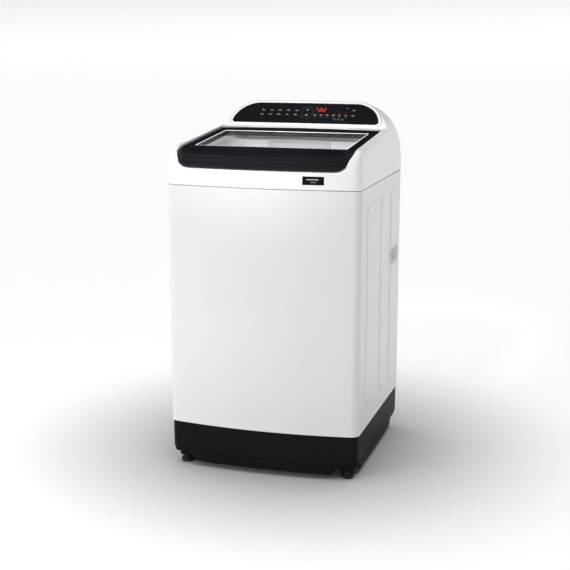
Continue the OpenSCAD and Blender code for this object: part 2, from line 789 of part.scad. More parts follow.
module basket() {
    color("silver") at_drum() {
        tube(basket_r - 1.2, basket_r, 262, ring_low);
        tube(basket_r - 3, basket_r - 1.2, 262, 266);
    }
}
module basket_base() {
    color([0.6, 0.62, 0.64]) at_drum() difference() {
        union() {
            translate([0, 0, 262]) cylinder(r = basket_r - 3, h = 6);
            translate([0, 0, 268]) cylinder(r = 60, h = 8);
            for (a = [0:30:330]) rotate([0, 0, a]) translate([56, -2, 266])
                cube([basket_r - 62, 4, 6]);
        }
        translate([0, 0, 250]) cylinder(r = spin_shaft_r, h = 40);
        for (a = [15:30:345], r = [90, 130, 170, 210]) rotate([0, 0, a]) translate([r, 0, 250])
            cylinder(r = 5, h = 30);
    }
}
module balance_ring() {
    color([0.85, 0.87, 0.88]) at_drum() difference() {
        union() {
            tube(throat_r - 2, basket_r + 6, ring_low, ring_low + 31);
            tube(throat_r - 2, basket_r - 1.2, ring_low - 14, ring_low);
        }
        tube(throat_r + 1, basket_r + 3, ring_low + 3, ring_low + 28);
    }
}
module spin_shaft() {
    color("silver") at_drum() difference() {
        union() {
            translate([0, 0, 166]) cylinder(r = spin_shaft_r, h = 110);
            translate([0, 0, 252]) cylinder(r = 100, h = 10);
        }
        translate([0, 0, 100]) cylinder(r = shaft_r + fit_gap, h = 200);
        for (a = [0:60:300]) rotate([0, 0, a + 30]) translate([70, 0, 240]) cylinder(r = 18, h = 30);
    }
}
module pulsator() {
    color([0.55, 0.6, 0.66]) at_drum() difference() {
        union() {
            rotate_extrude() polygon([[0, 279], [pulsator_r, 279], [pulsator_r, 283],
                [pulsator_r - 20, 287], [120, 291], [60, 300], [36, 330], [24, 338], [0, 340]]);
            for (a = [0:60:300]) rotate([0, 0, a]) rotate([90, 0, 0]) translate([0, 0, -7])
                linear_extrude(14) polygon([[20, 284], [178, 284], [170, 300], [90, 316],
                    [34, 326], [20, 326]]);
        }
        translate([0, 0, 270]) cylinder(r = shaft_r, h = 36);
        translate([0, 0, 275]) cylinder(r = 64, h = 3);
        for (a = [30:60:330], r = [90, 115, 140, 165]) rotate([0, 0, a]) translate([r, 0, 270])
            cylinder(r = 3, h = 30);
    }
}
module wash_shaft() {
    color("silver") at_drum() translate([0, 0, 132]) cylinder(r = shaft_r, h = 306 - 132);
}
module rotor() {
    color([0.35, 0.36, 0.38]) at_drum() {
        tube(shaft_r, 26, 144, 160);
        tube(20, 118, 150, 154);
        tube(112, 118, 154, 212);
        color("dimgray") for (a = [0:18:342]) rotate([0, 0, a]) translate([104, -13, 172])
            cube([7.6, 26, 36]);
        tube(106, 112.5, 168, 211);
    }
}

// ---- drain pump and connections -------------------------------------------------------------

module pump_case(g) {
    translate([pump_x - 15 - g, pump_y, pump_z]) rotate([0, 90, 0]) cylinder(r = 36 + g, h = 30 + 2 * g);
}
module drain_pump() {
    color([0.3, 0.32, 0.35]) difference() {
        union() {
            pump_case(0);
            translate([pump_x - 75, pump_y, pump_z]) rotate([0, 90, 0]) cylinder(r = 28, h = 61);
            translate([pump_x, pump_y, drain_z]) rotate([-90, 0, 0]) cylinder(r = 11, h = 130);
            translate([pump_x + 14, pump_y, pump_z]) rotate([0, 90, 0]) cylinder(r = 19, h = 16);
            translate([hose_x, pump_y, pump_z]) cylinder(r = 19, h = 122 - pump_z);
            translate([hose_x, pump_y, pump_z]) rotate([0, 90, 0]) cylinder(r = 19, h = 19);
            translate([pump_x - 70, pump_y - 20, base_floor]) cube([50, 40, 20]);
        }
        pump_case(-3);
        translate([pump_x, pump_y, drain_z]) rotate([-90, 0, 0]) cylinder(r = 8.5, h = 200);
        translate([pump_x + 10, pump_y, pump_z]) rotate([0, 90, 0]) cylinder(r = 15.5, h = 35);
        translate([hose_x, pump_y, pump_z]) cylinder(r = 15.5, h = 200);
    }
}
module pump_impeller() {
    color("black") translate([pump_x - 10, pump_y, pump_z]) rotate([0, 90, 0]) {
        cylinder(r = 24, h = 2);
        cylinder(r = 6, h = 16);
        for (a = [0:60:300]) rotate([0, 0, a]) translate([4, -1, 1]) cube([19, 2, 12]);
    }
}
module sump_hose() {
    folds = 9;
    pitch = 100 / folds;
    color([0.12, 0.12, 0.12]) translate([hose_x, pump_y, 122]) rotate_extrude() polygon(concat(
        [for (i = [0:folds - 1]) each [[18, i * pitch], [23, (i + 0.5) * pitch]]],
        [[18, 100], [15.5, 100], [15.5, 0]]));
}
module drain_spigot() {
    color([0.15, 0.15, 0.16]) translate([pump_x, rear_y - 14, drain_z]) rotate([-90, 0, 0])
        difference() {
            union() {
                cylinder(r = drain_r - 1, h = port_y - rear_y + 14);
                translate([0, 0, port_y - rear_y + 14 - drain_push]) cylinder(r = drain_r, h = drain_push);
                translate([0, 0, 11]) cylinder(r = 22, h = 3);
            }
            translate([0, 0, -1]) cylinder(r = 11, h = 80);
        }
}
module cable_gland() {
    color([0.12, 0.12, 0.12]) translate([cable_x, rear_y - 14, cable_z]) rotate([-90, 0, 0])
        difference() {
            union() {
                cylinder(r = 8, h = 24);
                translate([0, 0, 11]) cylinder(r = 12, h = 3);
                translate([0, 0, 1]) cylinder(r = 10, h = 4);
            }
            translate([0, 0, -1]) cylinder(r = 4, h = 80);
        }
}
module screws() {
    color("silver") for (p = rear_screw_at) translate([p[0], rear_y - 6, p[1]])
        rotate([-90, 0, 0]) {
            cylinder(r = 2, h = 8);
            translate([0, 0, 7 - emboss]) difference() {
                cylinder(r = 4.5, h = 3);
                translate([0, 0, 1.6]) cylinder(r = 2, h = 3, $fn = 6);
            }
        }
}

cabinet();
rear_panel();
base_frame();
top_cover();
console_housing();
control_panel();
display_window();
course_ring();
front_badge();
drawer_housing();
inlet_valves();
drain_spigot();
cable_gland();
main_board();
display_board();
pressure_sensor();
lid_lock();
lid_bumpers();
hinge_brackets();
corner_brackets();
suspension_rods();
rod_cups();
drain_pump();
sump_hose();
screws();
foot_front_left();
foot_front_right();
foot_rear_left();
foot_rear_right();
lid_frame();
lid_glass();
lid_inner_frame();
hinge_pins();
lid_striker();
detergent_drawer();
drawer_front();
power_key();
start_key();
course_up_key();
course_down_key();
option_key_1();
option_key_2();
option_key_3();
option_key_4();
option_key_5();
option_key_6();
outer_tub();
tub_cover();
bearing_housing();
bearings();
stator();
suspension_springs();
basket();
basket_base();
balance_ring();
spin_shaft();
pulsator();
wash_shaft();
rotor();
pump_impeller();
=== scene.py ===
"""The looks of a top load washing machine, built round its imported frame.

Lengths are in millimetres until a mesh is made. +X is the user's right, -Y the front, +Z up.
"""
import json
import math

import bmesh
import bpy
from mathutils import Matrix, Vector


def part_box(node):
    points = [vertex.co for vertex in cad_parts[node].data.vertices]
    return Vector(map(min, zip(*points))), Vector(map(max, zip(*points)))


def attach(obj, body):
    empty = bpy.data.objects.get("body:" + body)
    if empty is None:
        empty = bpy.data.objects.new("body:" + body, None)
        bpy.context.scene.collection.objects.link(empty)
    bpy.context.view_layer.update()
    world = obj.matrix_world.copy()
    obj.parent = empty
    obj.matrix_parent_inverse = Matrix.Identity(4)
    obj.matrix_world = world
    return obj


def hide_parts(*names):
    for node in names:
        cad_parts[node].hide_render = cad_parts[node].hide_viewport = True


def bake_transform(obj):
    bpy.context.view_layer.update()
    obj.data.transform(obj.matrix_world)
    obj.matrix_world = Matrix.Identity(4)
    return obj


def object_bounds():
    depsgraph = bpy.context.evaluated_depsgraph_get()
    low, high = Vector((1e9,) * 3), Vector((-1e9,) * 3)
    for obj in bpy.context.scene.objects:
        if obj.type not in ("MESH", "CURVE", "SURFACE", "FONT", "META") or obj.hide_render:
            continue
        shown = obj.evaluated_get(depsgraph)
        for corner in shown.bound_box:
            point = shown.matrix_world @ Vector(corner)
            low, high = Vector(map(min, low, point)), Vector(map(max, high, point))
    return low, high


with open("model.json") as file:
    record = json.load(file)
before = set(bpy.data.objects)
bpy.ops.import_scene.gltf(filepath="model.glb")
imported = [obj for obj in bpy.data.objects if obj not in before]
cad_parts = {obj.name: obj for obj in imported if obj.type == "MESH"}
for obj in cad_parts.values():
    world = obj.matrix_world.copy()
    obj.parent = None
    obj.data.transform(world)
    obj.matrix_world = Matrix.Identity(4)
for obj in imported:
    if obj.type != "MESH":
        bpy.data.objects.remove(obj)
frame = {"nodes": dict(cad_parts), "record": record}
cad_box = [list(corner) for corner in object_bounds()]
MM = 0.001


def box_mm(node):
    low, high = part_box(node)
    return low / MM, high / MM


def middle_of(node):
    low, high = box_mm(node)
    return (low.x + high.x) / 2, (low.y + high.y) / 2, (low.z + high.z) / 2


# ---- driving places, read from the frame -------------------------------------------------------

SIDE = cad_box[1][0] / MM                       # outermost face of the cabinet sides
FRONT = box_mm("lid_frame")[0].y                # foremost line, the lid's front lip
REAR = box_mm("console_housing")[1].y
SEAM_LOW, SEAM_HIGH = box_mm("cabinet")[0].z, box_mm("cabinet")[1].z
TOP = box_mm("console_housing")[1].z
SLANT = math.sqrt(0.5)                          # the control panel leans back at 45 degrees
EMBOSS = 2.5                                    # height of the pressed side panels
BOW = 28                                        # how far the front bows out
BOW_R = (SIDE ** 2 + BOW ** 2) / (2 * BOW)
BOW_Y = FRONT + BOW_R
CORNER = 30
FRONT_STEPS, CORNER_STEPS = 18, 10              # points along half the front and round a corner
WALL_X = SIDE - EMBOSS
LID_HALF = 271
LID_Z0, LID_SLOPE = 1020.4, math.tan(math.radians(4.6))
LID_REAR_R = 1643                               # bow of the lid's rear edge
LID_REAR_Y = 154
LID_CORNER = 41
LID_CX = LID_HALF - LID_CORNER                  # centre of the lid's front corner
LID_CY = BOW_Y - math.sqrt((BOW_R - LID_CORNER) ** 2 - LID_CX * LID_CX)
NOSE_DEPTH = 95                                 # how far back the cover's front starts to round down
LIP_Z = box_mm("lid_frame")[0].z
LIP_CORNER = 46
WINDOW_HALF, WINDOW_Y0, WINDOW_Y1 = 240, -206.3, 77.7
SHARE_Y = 158.5                                 # foot of the console's front slope
RIM_Z, RIM_SLOPE = 1036.5, 0.0828               # cover's top plane at SHARE_Y, and its slope
PARTING_Z = 942                                 # joint of cover and console on the sides
PANEL_Y, PANEL_Z = 166, 1044                    # lower edge of the control panel, 45 degrees
DRUM_Y = middle_of("balance_ring")[1]
WELL_HALF, WELL_FRONT, WELL_REAR, WELL_LOW, WELL_CORNER = 236, -232, 100, 909, 40
THROAT_R = 206
PAD_Y = [(-205, -62), (-11, 97), (136, 262)]    # pressed panels of the sides
PAD_Z = [(208, 838), (202, 841), (196, 844)]
PAD_CORNER = 32
GRIP_Y, GRIP_Z, GRIP_W, GRIP_H, GRIP_R = 190, 620, 108, 54, 21


# ---- curves ------------------------------------------------------------------------------------

def mix(a, b, t):
    return a + (b - a) * t


def between(p, q, t):
    """Point at a share t of the way from p to q, in plan."""
    return mix(p[0], q[0], t), mix(p[1], q[1], t)


def ease(t):
    t = min(max(t, 0.0), 1.0)
    return t * t * (3 - 2 * t)


def soft_min(a, b, k):
    h = max(k - abs(a - b), 0.0) / k
    return min(a, b) - h * h * k / 4


def soft_max(a, b, k):
    return -soft_min(-a, -b, k)


def spaced(low, high, n):
    return [mix(low, high, i / n) for i in range(n + 1)]


def arc(cx, cy, r, start, end, n):
    turns = [math.radians(a) for a in spaced(start, end, n)]
    return [(cx + r * math.cos(a), cy + r * math.sin(a)) for a in turns]


def through(points, t):
    """Smooth curve through given (place, value) points."""
    for (t0, v0), (t1, v1) in zip(points, points[1:]):
        if t <= t1:
            return mix(v0, v1, ease((t - t0) / (t1 - t0)) * 0.5 + (t - t0) / (t1 - t0) * 0.5)
    return points[-1][1]


def rounded_rect(w, h, r, n=6):
    """Closed outline about the origin, counterclockwise from the right side."""
    out = []
    for cx, cy, a in ((1, 1, 0), (-1, 1, 90), (-1, -1, 180), (1, -1, 270)):
        out += arc(cx * (w / 2 - r), cy * (h / 2 - r), r, a, a + 90, n)
    return out


def circle(r, z, n=64, centre=(0, 0)):
    """Level ring of n points."""
    turns = [2 * math.pi * i / n for i in range(n)]
    return [(centre[0] + r * math.cos(a), centre[1] + r * math.sin(a), z) for a in turns]


def rect_distance(x, y, w, h, r):
    """Signed distance from a rounded rectangle about the origin, negative inside."""
    qx, qy = abs(x) - w / 2 + r, abs(y) - h / 2 + r
    return math.hypot(max(qx, 0), max(qy, 0)) + min(max(qx, qy), 0) - r


def corner_of(d):
    r = max(CORNER - d, 2)
    x = SIDE - d - r
    y = BOW_Y - math.sqrt((BOW_R - d - r) ** 2 - x * x)
    return r, x, y, math.degrees(math.asin(x / (BOW_R - d - r)))


def half_outline(d, side_y, rear=()):
    """Right half of the body in plan, moved in by d: front middle, corner, side, rear."""
    r, x, y, turn = corner_of(d)
    rear_r = max(10 - d, 1)
    points = arc(0, BOW_Y, BOW_R - d, -90, -90 + turn, FRONT_STEPS)
    points += arc(x, y, r, -90 + turn, 0, CORNER_STEPS)[1:]
    points += [(SIDE - d, side) for side in side_y]
    inset = d - EMBOSS
    points += arc(SIDE - d - rear_r, REAR - inset - rear_r, rear_r, 0, 90, 4)
    return points + [(a, REAR - inset - b) for a, b in rear]


def both_sides(half):
    return [(-p[0],) + tuple(p[1:]) for p in reversed(half[1:])] + list(half)


def body_row(inset, z, side_y, rear):
    """Whole outline of the body at one height; z is a number or a function of x and y."""
    half = half_outline(inset, side_y, rear)
    return both_sides([(x, y, z(x, y) if callable(z) else z) for x, y in half])


def bow_y(x, d):
    return BOW_Y - math.sqrt((BOW_R - d) ** 2 - x * x)


def lid_rear_y(x, d):
    r = LID_REAR_R - d
    return LID_REAR_Y - LID_REAR_R + math.sqrt(r * r - x * x)


def lid_z(y):
    return LID_Z0 + LID_SLOPE * y


ARCH_X, ARCH_Z, ARCH_POWER, CROWN = 157, 945, 2.15, 6.5
ARCH_W, ARCH_H = WALL_X - ARCH_X, TOP - CROWN - ARCH_Z


def crown(x):
    return CROWN * (0.5 + 0.5 * math.cos(math.pi * min(abs(x) / 240, 1)))


def arch_at(phi):
    """Point of the right shoulder, a superellipse from the side wall to the crown."""
    a = math.radians(phi)
    x = ARCH_X + ARCH_W * max(math.cos(a), 0) ** (2 / ARCH_POWER)
    return x, ARCH_Z + ARCH_H * math.sin(a) ** (2 / ARCH_POWER) + crown(x)


def arch_height(x):
    x = abs(x)
    if x <= ARCH_X:
        return ARCH_Z + ARCH_H + crown(x)
    u = min((x - ARCH_X) / ARCH_W, 1)
    return ARCH_Z + ARCH_H * (1 - u ** ARCH_POWER) ** (1 / ARCH_POWER) + crown(x)


def side_height(y):
    """Side view of cover and console: rounded front, top plane, 45 degree slope."""
    z = RIM_Z + RIM_SLOPE * (y - SHARE_Y)
    back = y - FRONT
    if back < NOSE_DEPTH:
        z -= 76 * (1 - math.sqrt(1 - (1 - max(back, 0) / NOSE_DEPTH) ** 2))
    return soft_max(z, RIM_Z + (y - SHARE_Y), 5)


def form_height(x, y):
    return soft_min(arch_height(x), side_height(y), mix(28, 13, ease((y + 40) / 140)))


# ---- meshes ------------------------------------------------------------------------------------

class Shell:
    """Collects points in millimetres and their faces, then becomes one object."""

    def __init__(self):
        self.points, self.faces = [], []

    def rows(self, rows, wrap=False, first=False, last=False, skip=None, ring=False):
        base, width, count = len(self.points), len(rows[0]), len(rows)
        for row in rows:
            self.points += row
        for i in range(count if ring else count - 1):
            for j in range(width if wrap else width - 1):
                if skip and skip(i, j):
                    continue
                k, up = (j + 1) % width, ((i + 1) % count) * width
                self.faces.append((base + i * width + j, base + i * width + k, base + up + k, base + up + j))
        if first:
            self.faces.append(tuple(base + j for j in reversed(range(width))))
        if last:
            self.faces.append(tuple(base + (count - 1) * width + j for j in range(width)))
        return self

    def lathe(self, profile, n=64, centre=(0, 0), **more):
        """Turns (radius, height) points about a vertical axis."""
        return self.rows([circle(r, h, n, centre) for r, h in profile], wrap=True, **more)

    def tube(self, path, radius, n=8):
        """Round bar along a path of points, closed at both ends."""
        rows = []
        for i, p in enumerate(path):
            ahead = Vector(path[min(i + 1, len(path) - 1)]) - Vector(path[max(i - 1, 0)])
            across = ahead.cross(Vector((0, 0, 1)) if abs(ahead.normalized().z) < 0.9 else Vector((1, 0, 0)))
            across.normalize()
            over = across.cross(ahead).normalized()
            rows.append([tuple(Vector(p) + radius * (math.cos(a) * across + math.sin(a) * over))
                         for a in (2 * math.pi * k / n for k in range(n))])
        return self.rows(rows, wrap=True, first=True, last=True)

    def make(self, name, slot, replaces=(), *, body="cabinet_body", look=None, sharp=32, thick=0.0,
             inside=None, weigh=False):
        """Turns the shell into a piece that rides on a body, in its slot's material or in look."""
        mesh = bpy.data.meshes.new(name)
        mesh.from_pydata([[c * MM for c in p] for p in self.points], [], self.faces)
        bm = bmesh.new()
        bm.from_mesh(mesh)
        bmesh.ops.remove_doubles(bm, verts=bm.verts, dist=0.00001)
        bmesh.ops.dissolve_degenerate(bm, edges=bm.edges, dist=0.000005)
        bmesh.ops.recalc_face_normals(bm, faces=bm.faces)
        if inside is not None:
            middle = Vector(inside) * MM
            if sum(f.normal.dot(f.calc_center_median() - middle) * f.calc_area() for f in bm.faces) < 0:
                bmesh.ops.reverse_faces(bm, faces=bm.faces)
        loose = [v for v in bm.verts if not v.link_faces]
        bmesh.ops.delete(bm, geom=loose, context="VERTS")
        bm.to_mesh(mesh)
        bm.free()
        mesh.shade_smooth()
        mesh.set_sharp_from_angle(angle=math.radians(sharp))
        mesh.materials.append(look or LOOKS[slot])
        piece = bpy.data.objects.new(name, mesh)
        bpy.context.scene.collection.objects.link(piece)
        if thick:
            solid = piece.modifiers.new("thickness", "SOLIDIFY")
            solid.thickness, solid.offset = thick * MM, -1
        if weigh:
            piece.modifiers.new("flat faces", "WEIGHTED_NORMAL").keep_sharp = True
        if body:
            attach(piece, body)
        if replaces:
            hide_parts(*replaces)
        return piece


# ---- materials ---------------------------------------------------------------------------------

def shade(color, factor):
    return [min(c * factor, 1.0) for c in color] + [1.0]


RANGE = ("From Min", "From Max", "To Min", "To Max")


def add(tree, kind, sockets=(), **settings):
    """New shader node of a kind, with its settings and the constants on its named sockets."""
    node = tree.nodes.new("ShaderNode" + kind)
    for key, value in settings.items():
        setattr(node, key, value)
    for socket, value in dict(sockets).items():
        node.inputs[socket].default_value = value
    return node


def ranged(tree, source, span, result, **settings):
    """Output source, mapped from one span of values onto another."""
    node = add(tree, "MapRange", zip(RANGE, span + result), **settings)
    tree.links.new(source, node.inputs["Value"])
    return node.outputs["Result"]


def surface(name):
    """New material, its node tree and its main shader."""
    material = bpy.data.materials.new(name)
    material.use_nodes = True
    return material, material.node_tree, material.node_tree.nodes["Principled BSDF"]


def finish(name, color, rough, *, metal=0.0, coat=0.0, tint=0.03, tint_scale=9.0, grain=700.0,
           bump=0.012, spread=0.05, stretch=(1, 1, 1), pattern="noise", specular=0.5, glow=None):
    """A surface with cloudy colour, varied gloss and a fine grain, all from noise in space."""
    material, tree, shader = surface(name)
    link = tree.links.new
    for socket, value in (("Metallic", metal), ("Coat Weight", coat), ("Coat Roughness", 0.04),
                          ("Specular IOR Level", specular)):
        shader.inputs[socket].default_value = value
    scale = add(tree, "Mapping", {"Scale": stretch})
    link(add(tree, "TexCoord").outputs["Object"], scale.inputs["Vector"])
    clouds = add(tree, "TexNoise", {"Scale": tint_scale, "Detail": 5.0})
    link(scale.outputs["Vector"], clouds.inputs["Vector"])
    ramp = add(tree, "ValToRGB")
    for stop, position, factor in zip(ramp.color_ramp.elements, (0.3, 0.7), (1 - tint, 1 + tint)):
        stop.position, stop.color = position, shade(color, factor)
    link(clouds.outputs["Fac"], ramp.inputs["Fac"])
    link(ramp.outputs["Color"], shader.inputs["Base Color"])
    if pattern == "cells":
        fine = add(tree, "TexVoronoi", {"Scale": grain})
    elif pattern == "rings":
        fine = add(tree, "TexWave", {"Scale": grain, "Distortion": 1.5}, bands_direction="Z")
    else:
        fine = add(tree, "TexNoise", {"Scale": grain, "Detail": 3.0})
    link(scale.outputs["Vector"], fine.inputs["Vector"])
    gloss = ranged(tree, clouds.outputs["Fac"], (0, 1), (max(rough - spread, 0.02), rough + spread))
    link(gloss, shader.inputs["Roughness"])
    relief = add(tree, "Bump", {"Strength": 0.35, "Distance": bump * MM})
    link(fine.outputs["Distance" if pattern == "cells" else "Fac"], relief.inputs["Height"])
    link(relief.outputs["Normal"], shader.inputs["Normal"])
    if glow:
        shader.inputs["Emission Color"].default_value = list(color) + [1.0]
        shader.inputs["Emission Strength"].default_value = glow
    return material


def lid_finish():
    """Black lid moulding: matt on its flat top, glossier where it turns down at the front."""
    material = finish("lid_gloss_black", (0.006, 0.007, 0.010), 0.14, tint=0.1, grain=500, bump=0.004,
                      spread=0.03)
    tree = material.node_tree
    parts = add(tree, "SeparateXYZ")
    tree.links.new(add(tree, "TexCoord").outputs["Normal"], parts.inputs["Vector"])
    level = ranged(tree, parts.outputs["Z"], (0.9, 0.99), (0.14, 0.0))
    tree.links.new(level, tree.nodes["Principled BSDF"].inputs["Specular IOR Level"])
    return material


def clear_glass():
    """Tempered glass: a clear pane with a faint grey tint that mirrors more at a low angle."""
    material, tree, shader = surface("tempered_glass")
    link = tree.links.new
    for socket, value in (("Base Color", (0.9, 0.93, 0.93, 1)), ("Transmission Weight", 1.0), ("IOR", 1.45)):
        shader.inputs[socket].default_value = value
    smears = add(tree, "TexNoise", {"Scale": 14.0, "Detail": 6.0})
    link(add(tree, "TexCoord").outputs["Object"], smears.inputs["Vector"])
    link(ranged(tree, smears.outputs["Fac"], (0, 1), (0.0, 0.05)), shader.inputs["Roughness"])
    seen = add(tree, "BsdfTransparent", {"Color": (0.97, 0.975, 0.975, 1)})
    mirror = add(tree, "BsdfGlossy", {"Color": (1, 1, 1, 1), "Roughness": 0.02})
    tilt = add(tree, "LayerWeight", {"Blend": 0.5})
    steep = add(tree, "Math", {1: 5.0}, operation="POWER")
    link(tilt.outputs["Facing"], steep.inputs[0])
    edge = add(tree, "Math", {1: 0.12, 2: 0.01}, operation="MULTIPLY_ADD")
    link(steep.outputs["Value"], edge.inputs[0])
    pane, both = add(tree, "MixShader"), add(tree, "MixShader", {"Fac": 0.03})
    for source, target in ((edge.outputs["Value"], pane.inputs["Fac"]),
                           (seen.outputs["BSDF"], pane.inputs[1]), (mirror.outputs["BSDF"], pane.inputs[2]),
                           (pane.outputs["Shader"], both.inputs[1]),
                           (shader.outputs["BSDF"], both.inputs[2]),
                           (both.outputs["Shader"], tree.nodes["Material Output"].inputs["Surface"])):
        link(source, target)
    return material


def floor_paint():
    """Pale studio floor, with a painted shadow: a little darker round the place where the machine stands."""
    material = finish("studio_floor_paint", (0.9, 0.9, 0.9), 0.9, tint=0.004, specular=0.0)
    tree = material.node_tree
    link = tree.links.new
    target = tree.nodes["Principled BSDF"].inputs["Base Color"]
    pale = target.links[0].from_socket
    away, scaled = add(tree, "VectorMath", operation="LENGTH"), add(tree, "VectorMath", operation="SCALE")
    link(add(tree, "TexCoord").outputs["Object"], away.inputs[0])
    # Painted shadow: the floor's colour is scaled down towards the machine's place, from full at 1.15 m out
    # to 0.55 at 0.2 m.
    painted_shadow_fade = ranged(tree, away.outputs["Value"], (0.2, 1.15), (0.55, 1.0), interpolation_type="SMOOTHSTEP")
    link(pale, scaled.inputs[0])
    link(painted_shadow_fade, scaled.inputs["Scale"])
    link(scaled.outputs["Vector"], target)
    return material


LOOKS = {
    "white_paint": finish("white_enamel", (0.67, 0.675, 0.685), 0.3, coat=0.25, tint=0.008, grain=420,
                          bump=0.02),
    "white_cover": finish("white_moulding", (0.74, 0.745, 0.755), 0.24, coat=0.2, tint=0.008, grain=900,
                          bump=0.008),
    "black_base": finish("black_base_moulding", (0.008, 0.009, 0.0105), 0.42, tint=0.12, grain=1500,
                         bump=0.03, specular=0.04),
    "lid_black": lid_finish(),
    "lid_inner": finish("lid_inner_black", (0.02, 0.021, 0.024), 0.45, tint=0.1, grain=1300, bump=0.03),
    "lid_glass": clear_glass(),
    "panel_gloss": finish("panel_gloss_black", (0.0035, 0.0045, 0.0055), 0.1, tint=0.2, grain=300,
                          bump=0.002, spread=0.02, specular=0.25),
    "key_black": finish("key_gloss_black", (0.005, 0.0055, 0.006), 0.16, tint=0.2, grain=800, bump=0.004,
                        specular=0.3),
    "display_red": finish("display_lens", (0.018, 0.002, 0.002), 0.08, coat=0.4, tint=0.2, grain=300,
                          bump=0.002),
    "chrome_trim": finish("bright_trim", (0.32, 0.33, 0.34), 0.22, metal=1.0, tint=0.05, grain=600,
                          bump=0.004),
    "badge_black": finish("badge_plate", (0.003, 0.003, 0.0035), 0.2, tint=0.2, grain=400, bump=0.003,
                          specular=0.1),
    "tray_white": finish("tray_moulding", (0.80, 0.81, 0.82), 0.4, tint=0.02, grain=1100, bump=0.015),
    "drawer_grey": finish("drawer_moulding", (0.60, 0.61, 0.62), 0.35, tint=0.02, grain=1100, bump=0.015),
    "zinc_sheet": finish("zinc_coated_sheet", (0.62, 0.63, 0.64), 0.4, metal=0.85, tint=0.08, tint_scale=90,
                         grain=90, bump=0.02, pattern="cells"),
    "valve_white": finish("valve_moulding", (0.62, 0.62, 0.58), 0.45, tint=0.03, grain=900, bump=0.02),
    "black_fitting": finish("black_fitting", (0.014, 0.014, 0.016), 0.5, tint=0.15, grain=1200, bump=0.03),
    "grey_fitting": finish("grey_fitting", (0.13, 0.135, 0.14), 0.5, tint=0.08, grain=1200, bump=0.03),
    "board_green": finish("solder_resist", (0.012, 0.11, 0.045), 0.35, tint=0.35, tint_scale=160, grain=500,
                          bump=0.08, pattern="cells"),
    "rubber_black": finish("bellows_rubber", (0.012, 0.012, 0.013), 0.7, tint=0.2, grain=1600, bump=0.04),
    "rubber_foot": finish("foot_rubber", (0.012, 0.012, 0.013), 0.65, tint=0.2, grain=1500, bump=0.05),
    "steel_bracket": finish("zinc_plate", (0.55, 0.56, 0.57), 0.38, metal=0.9, tint=0.08, tint_scale=40,
                            grain=300, bump=0.01),
    "steel_bright": finish("turned_steel", (0.6, 0.6, 0.61), 0.25, metal=1.0, tint=0.05, grain=900,
                           bump=0.02, pattern="rings"),
    "spring_steel": finish("spring_steel", (0.35, 0.35, 0.37), 0.35, metal=1.0, tint=0.1, grain=900,
                           bump=0.01),
    "pump_grey": finish("pump_moulding", (0.16, 0.17, 0.19), 0.5, tint=0.08, grain=1200, bump=0.03),
    "tub_plastic": finish("tub_polypropylene", (0.5, 0.53, 0.55), 0.5, tint=0.05, grain=700, bump=0.03),
    "cast_aluminium": finish("cast_aluminium", (0.5, 0.51, 0.52), 0.5, metal=0.8, tint=0.1, tint_scale=50,
                             grain=400, bump=0.12),
    "stator_copper": finish("winding_copper", (0.5, 0.2, 0.08), 0.35, metal=0.8, tint=0.15, grain=350,
                            bump=0.4, pattern="rings"),
    "basket_steel": finish("basket_steel", (0.6, 0.6, 0.61), 0.24, metal=1.0, tint=0.04, grain=500,
                           bump=0.01, stretch=(1, 1, 12)),
    "basket_plastic": finish("basket_moulding", (0.45, 0.47, 0.49), 0.4, tint=0.04, grain=900, bump=0.02),
    "ring_plastic": finish("ring_moulding", (0.62, 0.64, 0.66), 0.32, tint=0.03, grain=900, bump=0.012),
    "pulsator_grey": finish("pulsator_moulding", (0.38, 0.43, 0.49), 0.25, coat=0.2, tint=0.04, grain=800,
                            bump=0.01),
    "rotor_steel": finish("rotor_pressing", (0.3, 0.31, 0.33), 0.4, metal=0.8, tint=0.08, grain=500,
                          bump=0.01),
}
MARK = finish("panel_marking", (0.30, 0.31, 0.32), 0.5, tint=0.1, grain=900, bump=0.002)
FAINT_MARK = finish("faint_marking", (0.11, 0.115, 0.12), 0.5, tint=0.1, grain=900, bump=0.002)
RED_LIGHT = finish("red_segments", (0.9, 0.03, 0.02), 0.4, tint=0.05, grain=600, bump=0.002, glow=0.5)
# Near-white colour for the ring round the window: a painted highlight of the glass's edge.
GLASS_EDGE_HIGHLIGHT = finish("glass_edge_painted_highlight", (0.92, 0.94, 0.94), 0.35, tint=0.02, grain=900, bump=0.01)
# Dark grey for the strip round the panel's bezel: painted shade of the gap.
GAP_PAINTED_SHADE = finish("gap_shadow", (0.10, 0.10, 0.105), 0.8, tint=0.2, grain=600, bump=0.01)


# ---- cabinet and base --------------------------------------------------------------------------

def pad_lift(y, z):
    """How far the pressed panels stand out at a place on the side wall."""
    lift = 0.0
    for (y0, y1), (z0, z1) in zip(PAD_Y, PAD_Z):
        away = rect_distance(y - (y0 + y1) / 2, z - (z0 + z1) / 2, y1 - y0, z1 - z0, PAD_CORNER)
        lift = max(lift, EMBOSS * ease(0.15 - away / 7))
    return lift


def lines_near(edges, low, high, wide):
    """Grid lines: close together by each edge, wide apart elsewhere."""
    near = [e + s for e in edges for s in (-3, -1, 1, 3, 5, 7, 10, 14, 18, 23, 28, 34)]
    near += [2 * e - n for e, n in zip([e for e in edges for _ in range(12)], near)]
    lines = sorted(v for v in near + spaced(low, high, wide) if low < v < high)
    return [v for i, v in enumerate(lines) if i == 0 or v - lines[i - 1] > 0.9]


